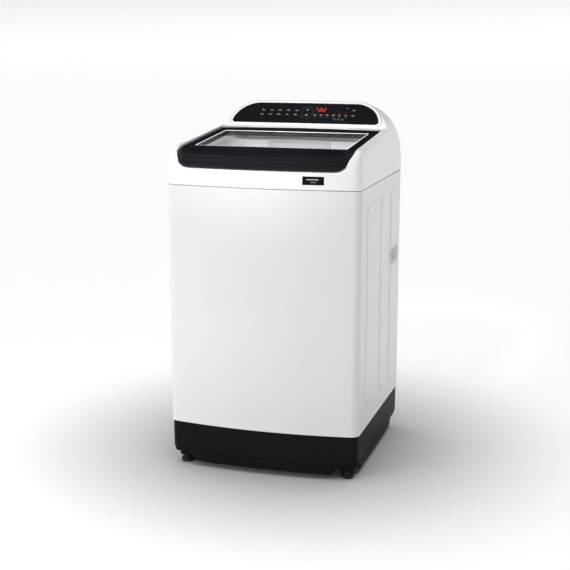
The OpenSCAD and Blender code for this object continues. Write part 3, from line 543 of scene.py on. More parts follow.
def cabinet_skin():
    corner_y = corner_of(EMBOSS)[2]
    side_y = lines_near([e for pad in PAD_Y for e in pad], corner_y + 2, REAR - 9, 20)
    levels = lines_near([v for pad in PAD_Z for v in pad] + [GRIP_Z - GRIP_H / 2, GRIP_Z + GRIP_H / 2],
                        SEAM_LOW + 9, SEAM_HIGH - 5, 24)
    hem = [(14, 142.6), (1.2, 142.6), (0.2, 142.8), (-0.8, 143.8), (-1, 145.4), (-0.8, 147), (0, 148.6)]
    head = [(0, 887), (0, 888), (0.4, 889), (1.4, 889.6), (14, 889.6)]
    first_side = FRONT_STEPS + CORNER_STEPS + 1
    rows = []
    for inset, z in hem + [(0, z) for z in levels] + head:
        half = half_outline(EMBOSS + inset, side_y, ((285, 0), (262, 0), (261, 1), (261, 7)))
        half = [(x, y, z) for x, y in half]
        if inset == 0:
            for k in range(first_side, first_side + len(side_y)):
                x, y, _ = half[k]
                half[k] = (x + pad_lift(y, z), y, z)
        rows.append(both_sides(half))

    def in_grip(i, j):
        x, y, z = (sum(c) / 4 for c in zip(rows[i][j], rows[i][j + 1], rows[i + 1][j], rows[i + 1][j + 1]))
        return abs(x) > WALL_X - 1 and rect_distance(y - GRIP_Y, z - GRIP_Z, GRIP_W, GRIP_H, GRIP_R) < 0.5

    Shell().rows(rows, skip=in_grip).make("cabinet_skin", "white_paint", ("cabinet",), thick=0.9,
                                          inside=(0, 0, 500), sharp=40)
    for side, name in ((1, "right"), (-1, "left")):
        rings = []
        for grow, x in ((6, 301.0), (5.8, 305.2), (5, 306), (2, 306.1), (0.6, 305.6), (0, 304.5), (-2, 296),
                        (-5, 284), (-9, 281), (-16, 280.5)):
            ring = rounded_rect(GRIP_W + 2 * grow, GRIP_H + 2 * grow, max(GRIP_R + grow, 3), 8)
            rings.append([(side * x, GRIP_Y + p, GRIP_Z + q) for p, q in ring])
        cup = Shell().rows(rings, wrap=True, last=True).make(
            "grip_cup_" + name, "white_paint", look=LOOKS["white_cover"], thick=1.0,
            inside=(side * 400, GRIP_Y, GRIP_Z), weigh=True)
        cup.data.flip_normals()


def rear_flanges():
    """Folded strips of the cabinet that the rear panel is screwed to, above and below."""
    for name, outer, inner in (("upper", 889.4, 872), ("lower", 142.8, 160)):
        bend = math.copysign(0.8, inner - outer)
        rows = [[(x, y, z) for x in spaced(-262.5, 262.5, 6)]
                for y, z in ((278, outer), (290.2, outer), (291, outer + bend), (291, inner))]
        Shell().rows(rows).make("rear_flange_" + name, "white_paint", thick=0.8, inside=(0, 200, 500))


FOOT_X, FOOT_Y = 262, 252


def skirt_edge(x, y):
    """The skirt's lower band, cut back round each foot."""
    away = abs(x) - FOOT_X if abs(y) > FOOT_Y else abs(y) - FOOT_Y
    return mix(47, 15 + 3 * (1 - (x / SIDE) ** 2), 1 - ease((away + 40) / 22))


def base_skin():
    side_y = lines_near([-FOOT_Y, FOOT_Y], corner_of(5)[2] + 2, REAR - 9, 20)
    rear = ((200, 0), (100, 0), (0.5, 0))
    wall = ((24, 141.6), (6.2, 141.6), (5.2, 141), (5, 139.5), (5.3, 100), (5.8, 58), (6.4, 54), (8.6, 51.5),
            (9.4, 49.5))
    rows = [body_row(inset, z, side_y, rear) for inset, z in wall]
    for inset, drop in ((9.6, 0.12), (10.0, 0.5), (10.4, 0.92), (11.4, 0.99), (13.5, 1.0), (13.6, 0.6)):
        rows.append(body_row(inset, lambda x, y: mix(49, skirt_edge(x, y), drop), side_y, rear))
    Shell().rows(rows).make("base_skin", "black_base", ("base_frame",), thick=1.5, inside=(0, 0, 90))
    # Floor of the base, with its round opening under the drive

    def tray_row(inset, z):
        return body_row(inset, z, spaced(corner_of(inset)[2] + 2, REAR - 60, 8),
                        ((150, 0), (75, 0), (0.5, 0)))

    rows = [tray_row(*step) for step in ((9, 47), (9, 43.5), (11, 42), (60, 40))]
    turn = [math.atan2(y - DRUM_Y, x) for x, y, _ in rows[-1]]
    for r, z in ((150, 40), (141, 40.4), (140, 41.5), (140, 43.5), (142, 44.5), (150, 45)):
        rows.append([(r * math.cos(a), DRUM_Y + r * math.sin(a), z) for a in turn])
    rows += [tray_row(*step) for step in ((60, 45), (14, 46), (10.5, 47.2))]
    Shell().rows(rows, wrap=True, ring=True).make("base_tray", "black_base")
    boss = [(5.6, 34), (11, 34), (11.4, 24), (22, 23.6), (23.6, 25), (24, 37), (22.5, 60), (21, 62), (9, 62),
            (5.6, 61)]
    for k, (sx, sy) in enumerate(((-1, -1), (1, -1), (-1, 1), (1, 1))):
        shell = Shell().lathe(boss, 40, (sx * FOOT_X, sy * FOOT_Y), ring=True)
        shell.make("foot_boss_%d" % (k + 1), "black_base")


def feet():
    pad = [(0.5, 0.6), (12, 0.4), (13, 1.4), (14, 0), (17.6, 0), (18.8, 0.8), (19.2, 2.6), (20, 3.4), (20, 5),
           (19.3, 5.8), (20, 6.6), (20, 8.4), (19.3, 9.2), (19.6, 10.4), (18.6, 11.8), (13, 12.6), (12.2, 14),
           (12, 20), (11, 22), (0.5, 22)]
    thread = [(4.9 if k % 2 else 4.3, 22 + 0.75 * k) for k in range(64)]
    thread = [(0.3, 21)] + thread + [(3.6, 71), (0.3, 72)]
    nut = [(8.4, 26.6), (9.3, 27.2), (9.3, 32.4), (8.4, 33)]
    for name in ("foot_front_left", "foot_front_right", "foot_rear_left", "foot_rear_right"):
        centre = middle_of(name)[:2]
        for part, profile, n, slot, sharp, replaced in (("_pad", pad, 48, "rubber_foot", 32, (name,)),
                                                        ("_stud", thread, 24, "steel_bright", 80, ()),
                                                        ("_nut", nut, 6, "steel_bright", 20, ())):
            shell = Shell().lathe(profile, n, centre, first=True, last=True)
            shell.make(name + part, slot, replaced, body=name, sharp=sharp)


# ---- top cover ---------------------------------------------------------------------------------

PHI_EDGE = 38                                   # shoulder angle at the lid opening
COVER_X = [arch_at(p)[0] for p in spaced(0, PHI_EDGE, 16)]
CORNER_SOFT = 24                                # rounding of the cover's front corners
PARTING = [(0, 182), (0.2, 171), (0.42, 150), (0.62, 124), (0.76, 112.5), (0.86, 113), (1, 131)]


def parting_y(t):
    """Joint of cover and console, from the side wall (0) up to the lid's rear corner (1)."""
    return through(PARTING, t)


def lip_edge(x, grow):
    """Lower edge of the front lip in front view."""
    reach = LIP_CORNER + grow
    over = min(max(abs(x) - (LID_HALF - LIP_CORNER), 0), reach)
    return LIP_Z - grow + reach - math.sqrt(reach * reach - over * over)


def cover_columns():
    """Right half of the cover: wall point, lid edge point, share of the rim, sideways shift."""
    columns = []
    cross = 261                                 # where the lid's corner leaves the wall in plan
    lid_r = LID_CORNER + 3
    for x in spaced(0, 215, 14) + spaced(222, cross, 16):
        columns.append(((x, bow_y(x, EMBOSS)), (x, bow_y(x, EMBOSS + 2)), ease((x - 250) / 14) * 0.5, 0))
    r, cx, cy, turn = corner_of(EMBOSS)
    wall = [(x, bow_y(x, EMBOSS)) for x in spaced(cross + 2, cx, 5)] + arc(cx, cy, r, -90 + turn, 0, 14)
    for k, point in enumerate(wall):
        f = (k + 1) / len(wall)
        a = math.radians(-50 * (1 - f))
        edge = (LID_CX + lid_r * math.cos(a), LID_CY + lid_r * math.sin(a))
        columns.append((point, edge, ease(0.5 + f * 1.5), 0))
    for y in spaced(cy + 5, 182, 52):
        columns.append(((WALL_X, y), (LID_HALF + 3, y), 1, ease((y - 20) / 162)))
    return columns


def top_cover_skin():
    columns = cover_columns()
    corner_y = corner_of(EMBOSS)[2]
    levels = [(9, 891), (1.6, 891), (0.6, 891.3), (0, 892.2)]
    foot = levels[-1][1]
    rows = [[(x - inset, y, z) if x > 270 else (x, y + inset, z) for (x, y), _, _, _ in columns]
            for inset, z in levels]

    def softness(wall):
        """Rounding between the wall and the top, which fades out behind the front corner."""
        return CORNER_SOFT * (1 - ease((wall[1] - corner_y) / 60))

    for t in spaced(0.06, 1, 12):
        row = []
        for wall, _, rim, _ in columns:
            top = mix(lip_edge(wall[0], 3), min(form_height(*wall) - softness(wall), 1000), rim)
            row.append(wall + (mix(foot, top, t),))
        rows.append(row)
    n = len(COVER_X) - 1
    for i in range(1, n + 1):
        row = []
        for wall, edge, rim, shift in columns:
            x, y = between(wall, edge, (WALL_X - COVER_X[i]) / (WALL_X - COVER_X[n]))
            y += shift * (parting_y(i / n) - 182)
            reach, soft = 40 if shift else math.hypot(x - wall[0], y - wall[1]), softness(wall)
            drop = soft - math.sqrt(max(soft * soft - max(soft - reach, 0) ** 2, 0)) if soft > 0 else 0
            row.append((x, y, mix(lip_edge(wall[0], 3), form_height(x, y) - drop, rim)))
        rows.append(row)
    last = rows[-1]
    for inset, down in ((0.7, 0.5), (1.1, 1.6), (1.3, 4), (1.4, 12), (1.6, 20)):
        row = []
        for (x, y, z), (_, _, rim, _) in zip(last, columns):
            inward = min(rim * 1.6, 1)
            back = inset * (1 - inward) + (1 - inward) * 16 * (down > 2)
            lower = down * inward + (1 - inward) * min(down, 1.5)
            row.append((x - inset * 0.4 * inward, y + back, z - lower))
        rows.append(row)
    half = Shell()
    for mirror in (1, -1):
        half.rows([[(mirror * x, y, z) for x, y, z in row] for row in rows])
        # Low strip behind the joint, round to the middle of the rear wall
        r = 7.5
        plan = [(WALL_X, y) for y in spaced(182, REAR - r, 10)] + arc(WALL_X - r, REAR - r, r, 0, 90, 5)[1:]
        plan += [(x, REAR) for x in (250, 180, 90, 0)]
        strip = []
        for inset, z in levels + [(0, 905), (0, 925), (0, PARTING_Z - 1.6), (0.5, PARTING_Z - 0.7),
                                  (1.5, PARTING_Z - 0.4), (6, PARTING_Z - 0.4)]:
            strip.append([(mirror * min(x, WALL_X - inset), min(y, REAR - inset), z) for x, y in plan])
        half.rows(strip)
        # The joint's inner fold
        joint = [row[-1] for row in rows[3:3 + 13 + n]]
        folds = []
        for inward in (0, 0.6, 2.5, 6):
            folds.append([(mirror * (x - inward * (z > 944 or 0)), y + 0.1 * inward, z - inward * 0.4)
                          for x, y, z in joint if z > PARTING_Z - 3])
        half.rows(folds)
    half.make("top_cover_skin", "white_cover", ("top_cover",), thick=1.4, inside=(0, 0, 920))


def loading_well():
    """Ledge under the lid, the well below it and the round throat over the basket."""
    n_side, n_corner, gap = 20, 8, 1.6
    low, high = box_mm("drawer_front")
    mouth_x, mouth_z = (low.x - gap, high.x + gap), (low.z - gap, high.z + gap)

    def loop(half, front, rear, r, bow=0.0, square=0.0):
        """Rounded rectangle from the rear middle of the right half round to the rear again."""
        across = spaced(0, half - r, 8)
        clear = sorted(spaced(12, half - r, 12), key=lambda v: abs(v - mouth_x[1]))[2:]
        rear_x = sorted([0, mouth_x[1]] + clear)
        right = [(x, rear) for x in rear_x]
        right += arc(half - r, rear - r * (1 - square), r, 90, 0, n_corner)[1:]
        right += [(half, y) for y in spaced(rear - r, front + r, n_side)[1:-1]]
        right += arc(half - r, front + r, r, 0, -90, n_corner)
        right += [(x, front) for x in reversed(across[:-1])]
        left = [(-x, y) for x, y in reversed(right[1:-1])]
        ring = right + left
        ring = [(mouth_x[0] if abs(x + mouth_x[1]) < 0.01 and y == rear else x, y) for x, y in ring]
        return [(x, y + bow * x * x / (2 * BOW_R) * max(-y, 0) / 300) for x, y in ring]

    rings = [[(x, y, min(lip_edge(x, 3) - 3, lid_z(y) - 24) if y < -255 else lid_z(y) - 24)
              for x, y in loop(272.8, -304, 115.4, 36, 1.0)]]
    for half, front, rear, r, lift in ((272.6, -296, 115, 34, -22), (272.4, -295, 114.5, 34, -20.4),
                                       (262, -280, 110, 36, -19.8), (WELL_HALF + 5, -238, 105, 42, -19.8)):
        rings.append([(x, y, lid_z(y) + lift) for x, y in loop(half, front, rear, r, 1.0)])
    for inset, lift in ((0, -20.6), (-2.2, -22.6), (-3, -26)):
        plan = loop(WELL_HALF + inset, WELL_FRONT - inset, WELL_REAR, WELL_CORNER + inset, 0.35)
        rings.append([(x, y, lid_z(y) + lift) for x, y in plan])
    low = WELL_LOW
    for inset, z in ((-3.3, mouth_z[1]), (-5.5, 962), (-7.5, 950), (-8.5, mouth_z[0]), (-10.5, low + 18),
                     (-13, low + 11), (-17, low + 5), (-23, low + 1.4), (-29, low)):
        bow = 0.35 * max((z - low) / 90, 0)
        plan = loop(WELL_HALF + inset, WELL_FRONT - inset * 0.55, WELL_REAR + min(inset + 12, 0),
                    WELL_CORNER + inset * 0.3, bow)
        rings.append([(x, y, z) for x, y in plan])
    last = rings[-1]
    for r, z in ((THROAT_R + 3, low - 0.2), (THROAT_R + 1, low - 0.8), (THROAT_R, low - 2.6),
                 (THROAT_R, low - 18), (THROAT_R + 2, low - 22)):
        ring = []
        for x, y, _ in last:
            a = math.atan2(y - DRUM_Y, x)
            ring.append((r * math.cos(a), min(DRUM_Y + r * math.sin(a), WELL_REAR - 14), z))
        rings.append(ring)
    top, bottom = 8, 11

    def in_mouth(i, j):
        ring = rings[i]
        a, b = ring[j], ring[(j + 1) % len(ring)]
        x, y = (a[0] + b[0]) / 2, (a[1] + b[1]) / 2
        return top <= i < bottom and y > WELL_REAR - 2 and mouth_x[0] - 0.1 < x < mouth_x[1] + 0.1

    Shell().rows(rings, wrap=True, skip=in_mouth).make(
        "loading_well", "white_cover", look=LOOKS["tray_white"], inside=(0, -60, 1500), sharp=50)
    # Plate round the drawer, with the rounded opening
    cx, cz = (mouth_x[0] + mouth_x[1]) / 2, (mouth_z[0] + mouth_z[1]) / 2
    w, h = mouth_x[1] - mouth_x[0], mouth_z[1] - mouth_z[0]
    frame_rings = []
    for grow, r, y in ((5, 1, 100.6), (4.6, 1, 99.6), (0.6, 12, 99.6), (-0.1, 12.5, 100.2),
                       (-0.3, 12.5, 101.5), (-0.4, 12.5, 112)):
        outline = rounded_rect(w + 2 * grow, h + 2 * grow, r, 6)
        frame_rings.append([(cx + p, y, cz + q) for p, q in outline])
    Shell().rows(frame_rings, wrap=True).make("drawer_surround", "white_cover", look=LOOKS["tray_white"],
                                              thick=0.6, inside=(cx, 200, cz))
    # Trough between the well and the console, where the lid's rear edge swings down
    trough = Shell()
    reach = LID_HALF + 2.5
    profile = [(110, 1008.5), (114, 1008.8), (116.5, 1007.6), (117.4, 1004), (117.6, 990), (118.6, 986),
               (122, 984), (150, 984), (154, 986), (156, 990), (156.4, 1020), (156.6, 1031)]
    xs = spaced(-reach, reach, 24)
    trough.rows([[(x, y - (x / 272) ** 2 * 21 * ease((y - 118) / 38), z) for x in xs] for y, z in profile])
    trough.make("hinge_trough", "white_cover", thick=1.2, inside=(0, 135, 800))


# ---- console -----------------------------------------------------------------------------------

def console_columns():
    """Right half of the console's cross-section, from the low joint up to the crown."""
    side = [(WALL_X, z) for z in (PARTING_Z, 943.5)]
    shoulder = [arch_at(p) for p in spaced(0, PHI_EDGE, 16)]
    shoulder += [arch_at(p) for p in spaced(PHI_EDGE, 86, 20)[1:]]
    top = [(x, arch_height(x)) for x in spaced(shoulder[-1][0], 0, 12)[1:]]
    return side + shoulder + top


POCKET = 3                                      # depth of the console under the control panel


def inside_ring(u, v, ring):
    """Whether a point lies inside a closed outline."""
    hit = False
    for (a, b), (c, d) in zip(ring, ring[1:] + ring[:1]):
        if (b > v) != (d > v) and u < a + (v - b) * (c - a) / (d - b):
            hit = not hit
    return hit


def console_skin():
    half = console_columns()
    edge_index = 2 + 16
    meet = 196                                  # behind this every row runs straight across
    fillet_y, fillet_top = 20.0, 20.0
    starts = []
    for k, (x, z) in enumerate(half):
        if k <= edge_index:
            starts.append(parting_y(max(k - 2, 0) / 16) + 0.8)
        else:
            starts.append(max(lid_rear_y(min(x, 271), 0) + 3, 100))
    depth = spaced(meet, 226, 6)[1:] + spaced(226, 254, 11)[1:] + spaced(254, REAR - fillet_y, 3)[1:]
    rows = []
    for t in spaced(0, 1, 26):
        rows.append([(x, mix(s, meet, t), z) for (x, z), s in zip(half, starts)])
    rows += [[(x, y, z) for x, z in half] for y in depth]
    rows = [[(x, y, soft_min(z, side_height(y), 13) if z > 944 else z) for x, y, z in row] for row in rows]
    last = rows[-1]
    for a in spaced(0, 90, 8)[1:]:
        inset, back = 1 - math.cos(math.radians(a)), math.sin(math.radians(a))
        row = []
        for x, y, z in last:
            up = ease((z - 960) / 120)
            pull = mix(7, fillet_top, up) * inset
            slope = min(max((z - 950) / 150, 0), 1)
            row.append((x - (1 - slope ** 2) * pull, y + fillet_y * back, z - slope ** 0.7 * pull))
        rows.append(row)
    # Shallow pocket under the control panel, so that a pressed key has room
    pocket = panel_outline(-5)
    for row in rows:
        for k, (x, y, z) in enumerate(row):
            up, out = (y - PANEL_Y + z - PANEL_Z) * SLANT, (z - PANEL_Z - y + PANEL_Y) * SLANT
            if abs(out) < 2 and inside_ring(abs(x), up, pocket):
                row[k] = (x, y + POCKET * SLANT, z - POCKET * SLANT)
    # Edge folded in along the joint and behind the lid
    folded = []
    for inward, down in ((9, 9), (3, 4), (0.7, 0.8)):
        row = []
        for k, (x, y, z) in enumerate(rows[0]):
            side = 1 - ease((k - edge_index + 3) / 4)
            row.append((x - inward * 0.6 * side, y + 0.25 * min(inward, 2) - 0.2,
                        z - down * mix(1, 0.3, side)))
        folded.append(row)
    rows = folded + rows
    full = [row + [(-x, y, z) for x, y, z in reversed(row[:-1])] for row in rows]
    shell = Shell().rows(full, last=True)
    # Turned-in lower edge
    low = [(x, y, z) for x, y, z in (row[0] for row in rows[3:])]
    for mirror in (1, -1):
        shell.rows([[(mirror * (x - a), min(y, REAR - a), z - b) for x, y, z in low]
                    for a, b in ((0, 0), (0.4, 0.5), (1.4, 0.8), (6, 0.8))])
    shell.make("console_skin", "white_cover", ("console_housing",), thick=1.6, inside=(0, 220, 950))


def on_panel(u, v, w):
    """A point of the control panel: u across, v up the slope, w out of it."""
    return (u, PANEL_Y + (v - w) * SLANT, PANEL_Z + (v + w) * SLANT)


def panel_rows(outline, steps):
    """Rows of points on the panel: outline(grow) at each (grow, lift) step."""
    return [[on_panel(u, v, w) for u, v in outline(grow)] for grow, w in steps]


def moved(outline, u, v):
    return [(u + a, v + b) for a, b in outline]


def panel_outline(grow):
    half = arc(237, 13, 12 + grow, -90, 0, 6) + arc(160, -2, 90 + grow, 12, 84, 12)
    top = half[-1]
    half = [(x, 1 - grow) for x in (0, 80, 160)] + half
    half += [(x, top[1] + (1 - (x / top[0]) ** 2) * 0.6) for x in (120, 70, 25)]
    return half + [(-x, y) for x, y in reversed(half[1:])]


def filled(outline, holes, w, thick):
    """A flat plate on the panel's plane, open at its holes, with walls down by thick."""
    mesh = bmesh.new()
    shell = Shell()
    for ring in [outline] + holes:
        walls = panel_rows(lambda grow: ring, ((0, w), (0, w - thick)))
        verts = [mesh.verts.new(point) for point in walls[0]]
        for a, b in zip(verts, verts[1:] + verts[:1]):
            mesh.edges.new((a, b))
        shell.rows(walls, wrap=True)
    bmesh.ops.triangle_fill(mesh, use_beauty=True, use_dissolve=False, edges=mesh.edges[:])
    mesh.verts.index_update()
    base = len(shell.points)
    shell.points += [tuple(v.co) for v in mesh.verts]
    shell.faces += [tuple(base + v.index for v in f.verts) for f in mesh.faces]
    mesh.free()
    return shell


def key_places():
    """Middle of each key's face on the panel, as (u, v, width, height)."""
    sizes = {"power_key": (20, 14), "start_key": (20, 14), "course_up_key": (22, 16),
             "course_down_key": (22, 16)}
    sizes.update({"option_key_%d" % k: (15, 11) for k in range(1, 7)})
    return {name: (middle_of(name)[0], (box_mm(name)[1].z - PANEL_Z) / SLANT - 1.4 - h / 2, w, h)
            for name, (w, h) in sizes.items()}


def bar(shell, u, v, w, h, lift, tall=0.12):
    """A printed mark: a thin raised bar."""
    ring = moved(rounded_rect(w, h, min(w, h) * 0.3, 2), u, v)
    shell.rows(panel_rows(lambda grow: ring, ((0, lift), (0, lift + tall))), wrap=True, last=True)


def control_panel():
    places = key_places()
    holes = [moved(rounded_rect(w + 0.7, h + 0.7, 3.2, 4), u, v) for u, v, w, h in places.values()]
    plate = filled(panel_outline(-0.9), holes, 1.0, 1.8)
    plate.rows(panel_rows(panel_outline, ((-0.9, 1.0), (-0.35, 0.85), (0, 0.4), (0, -1.2))), wrap=True)
    plate.make("control_panel_face", "panel_gloss", ("control_panel",), inside=on_panel(0, 40, -30), sharp=30)
    bezel = panel_rows(panel_outline, ((0.4, -1.4), (0.5, 0.9), (1.0, 1.5), (2.0, 1.7), (6.0, 1.5),
                                       (8.2, 1.1), (9.0, 0.5), (9.3, -0.6), (9.4, -1.4)))
    Shell().rows(bezel, wrap=True, ring=True).make("panel_bezel", "white_cover", sharp=50)
    # Dark strip flush round the bezel: painted shade standing in for the shadow in the gap between bezel and
    # console.
    gap_shade = panel_rows(panel_outline, ((9.2, -0.5), (9.3, 0.12), (10.4, 0.12), (10.5, -0.5)))
    Shell().rows(gap_shade, wrap=True, ring=True).make("bezel_gap", "white_cover", look=GAP_PAINTED_SHADE)
    lens = panel_rows(lambda grow: moved(rounded_rect(41.6 + grow, 19.6 + grow, 2.8, 5), 49, 60),
                      ((0, 0.4), (0, 1.05), (-0.5, 1.2)))
    Shell().rows(lens, wrap=True, first=True, last=True).make(
        "display_lens", "display_red", ("display_window",))
    ring = panel_rows(lambda grow: moved(rounded_rect(35 + 2 * grow, 46 + 2 * grow, 12.5 + grow, 10), 2, 47),
                      ((0, 0.95), (0.1, 1.45), (0.5, 1.6), (1.0, 1.6), (1.4, 1.45), (1.5, 0.95)))
    Shell().rows(ring, wrap=True, ring=True).make("course_ring_trim", "chrome_trim", ("course_ring",))
    # Keys: domed caps on their bodies, each with a plain generic mark
    for name, (u, v, w, h) in places.items():
        cap = panel_rows(lambda grow: moved(rounded_rect(w + grow, h + grow, max(3 + grow / 2, 1), 5), u, v),
                         ((0, 0.12), (0, 0.95), (-0.3, 1.25), (-1.0, 1.38)))
        Shell().rows(cap, wrap=True, first=True, last=True).make(
            name + "_cap", "key_black", (name,), body=name, weigh=True)
        mark = Shell()
        if h > 15:
            bar(mark, u, v + 2.2, 8, 1.5, 1.36)
            bar(mark, u, v - 1.8, 5, 1.3, 1.36)
        else:
            bar(mark, u - 1, v + 1.4, w * 0.52, 1.3, 1.36)
            bar(mark, u + 1, v - 1.5, w * 0.40, 1.2, 1.36)
        mark.make(name + "_mark", "key_black", body=name, look=MARK)
    panel_marks()


def panel_marks():
    """Generic bars and lights where a panel carries its legends; no lettering."""
    marks, faint, lights = Shell(), Shell(), Shell()
    widths = [11, 14, 12, 13, 15]
    for row, v in enumerate((55, 37)):
        for k in range(5):
            u = -150 + 29 * k - 2 * row
            w = widths[(k + 2 * row) % 5]
            bar(marks, u, v + 1.6, w * 0.72, 1.5, 1.0)
            bar(faint, u + 1, v - 1.4, w, 1.4, 1.0)
    for k in range(6):
        u = 32 + 20.7 * k
        bar(faint, u, 28.6, 11, 0.8, 1.0)
        if k >= 3:
            bar(lights, u, 50.5, 1.3, 1.3, 1.0)
    for u in (101, 114, 127):
        bar(marks, u, 21.6, 6, 1.0, 1.0)
    bar(faint, 114, 18.4, 34, 0.7, 1.0)
    bar(marks, 136, 68, 7, 1.4, 1.0)
    for u in (33, 48, 63):
        bar(lights, u, 66.4, 4.2, 2.0, 1.2)
    bar(lights, -151, 60.4, 3, 1.6, 1.0)
    # Three seven-segment figures on the lens
    shapes = ["abcdfg", "abcdefg", "bcfgad"]
    segments = {"a": (0, 5, 4.6, 1.1), "b": (2.9, 2.6, 1.1, 4.2), "c": (2.9, -2.4, 1.1, 4.2),
                "d": (0, -4.9, 4.6, 1.1), "e": (-2.9, -2.4, 1.1, 4.2), "f": (-2.9, 2.6, 1.1, 4.2),
                "g": (0, 0, 4.6, 1.1)}
    for k, shape in enumerate(shapes):
        for name in shape:
            a, b, w, h = segments[name]
            bar(lights, 42.5 + 8.6 * k + 0.8 * (a + b * 0.08), 56.5 + 0.8 * b, 0.8 * w, 0.8 * h, 1.2)
    marks.make("panel_marks", "panel_gloss", look=MARK)
    faint.make("panel_marks_faint", "panel_gloss", look=FAINT_MARK)
    lights.make("panel_lights", "display_red", look=RED_LIGHT)


def front_badge():
    low, high = box_mm("front_badge")
    (cx, _, cz), w, h = middle_of("front_badge"), high.x - low.x, high.z - low.z

    def at(a, b, out):
        x = cx + a
        return (x, bow_y(x, EMBOSS - out), cz + b)

    steps = spaced(-w / 2, w / 2, 10)

    def ring(s, out):
        """Rectangle with fine steps across, so that it follows the bow."""
        xs = [v * (1 - 2 * s / w) for v in steps]
        return [at(v, -h / 2 + s, out) for v in xs] + [at(v, h / 2 - s, out) for v in reversed(xs)]

    rows = [ring(s, out) for s, out in ((0, -0.6), (0, 0.1), (0.25, 0.32), (0.7, 0.4))]
    plate = Shell().rows(rows, wrap=True)
    top = rows[-1]
    count = len(steps)
    plate.rows([top[:count], list(reversed(top[count:]))])
    plate.make("badge_plate", "badge_black", ("front_badge",))
    bars = Shell()
    for a0, a1, b0, b1 in ((-20, 16, 1.5, 5.2), (-9, 9, -5.4, -4.0)):
        bars.rows([[at(v, b, out) for v in spaced(a0, a1, 4)]
                   for b, out in ((b0, 0.3), (b0, 0.46), (b1, 0.46), (b1, 0.3))])
    bars.make("badge_bars", "badge_black", look=MARK)


# ---- lid ---------------------------------------------------------------------------------------

def lid_columns():
    """Right half of the lid: (window edge, outer edge, zone), front middle to rear middle."""
    r = LID_CORNER
    turn = math.degrees(math.asin(LID_CX / (BOW_R - r)))
    n_front, n_corner, n_side, n_tip, n_rear = 20, 14, 18, 3, 20
    tip = 3
    outer = arc(0, BOW_Y, BOW_R, -90, -90 + turn, n_front)
    outer += arc(LID_CX, LID_CY, r, -90 + turn, 0, n_corner)[1:]
    rear_y = lid_rear_y(LID_HALF - tip, 0)
    outer += [(LID_HALF, y) for y in spaced(LID_CY, rear_y - tip, n_side)[1:]]
    outer += arc(LID_HALF - tip, rear_y - tip, tip, 0, 82, n_tip)[1:]
    outer += [(x, lid_rear_y(x, 0)) for x in spaced(LID_HALF - tip, 0, n_rear)[1:]]
    w = 6
    window = [(x, WINDOW_Y0) for x in spaced(0, WINDOW_HALF - w, n_front)]
    window += arc(WINDOW_HALF - w, WINDOW_Y0 + w, w, -90, 0, n_corner)[1:]
    window += [(WINDOW_HALF, y) for y in spaced(WINDOW_Y0 + w, WINDOW_Y1 - w, n_side)[1:]]
    window += arc(WINDOW_HALF - w, WINDOW_Y1 - w, w, 0, 90, n_tip)[1:]
    window += [(x, WINDOW_Y1) for x in spaced(WINDOW_HALF - w, 0, n_rear)[1:]]
    zones = [1.0] * (n_front + 1) + [1 - ease(k / n_corner) for k in range(1, n_corner + 1)]
    zones += [0.0] * (len(outer) - len(zones))
    return list(zip(window, outer, zones))


LID_SINK = 1.6                                  # the frame's top under the lid's plane
NOSE = [(0, 13.4), (2, 12.9), (8, 10.9), (25, 8.6), (50, 6.6), (80, 5.0), (104, 3.2), (114, LID_SINK)]


def lid_inset(outer, by):
    """Outer edge point moved in towards the lid's middle, square to the edge."""
    x, y = outer
    if y > lid_rear_y(min(abs(x), 270), 0) - 4:
        return x * (1 - by / LID_HALF), y - by
    if abs(x) > LID_HALF - 0.5:
        return x - math.copysign(by, x), y
    if abs(x) > LID_CX:
        f = 1 - by / LID_CORNER
        return math.copysign(LID_CX + (abs(x) - LID_CX) * f, x), LID_CY + (y - LID_CY) * f
    f = (BOW_R - by) / BOW_R
    return x * f, BOW_Y + (y - BOW_Y) * f


def lid_radius(zone):
    """Rounding of the outer edge."""
    return mix(4.0, 2.4, zone)


def lid_clear(zone):
    """Extra room along the straight sides, where the raised lid swings past the cover."""
    return 0.7 * (1 - zone)


def lid_droop(reach, zone, edge_y):
    """How far the top lies under the lid's plane at a distance from the outer edge."""
    fall = 11 * min(max((-230 - edge_y) / 42, 0), 1) ** 2
    at_edge = max(1 - reach / 40, 0) ** 1.5
    corner = 4 * zone * (1 - zone) * at_edge
    return mix(LID_SINK + fall * at_edge, through(NOSE, min(reach, NOSE[-1][0])), zone) + 3 * corner


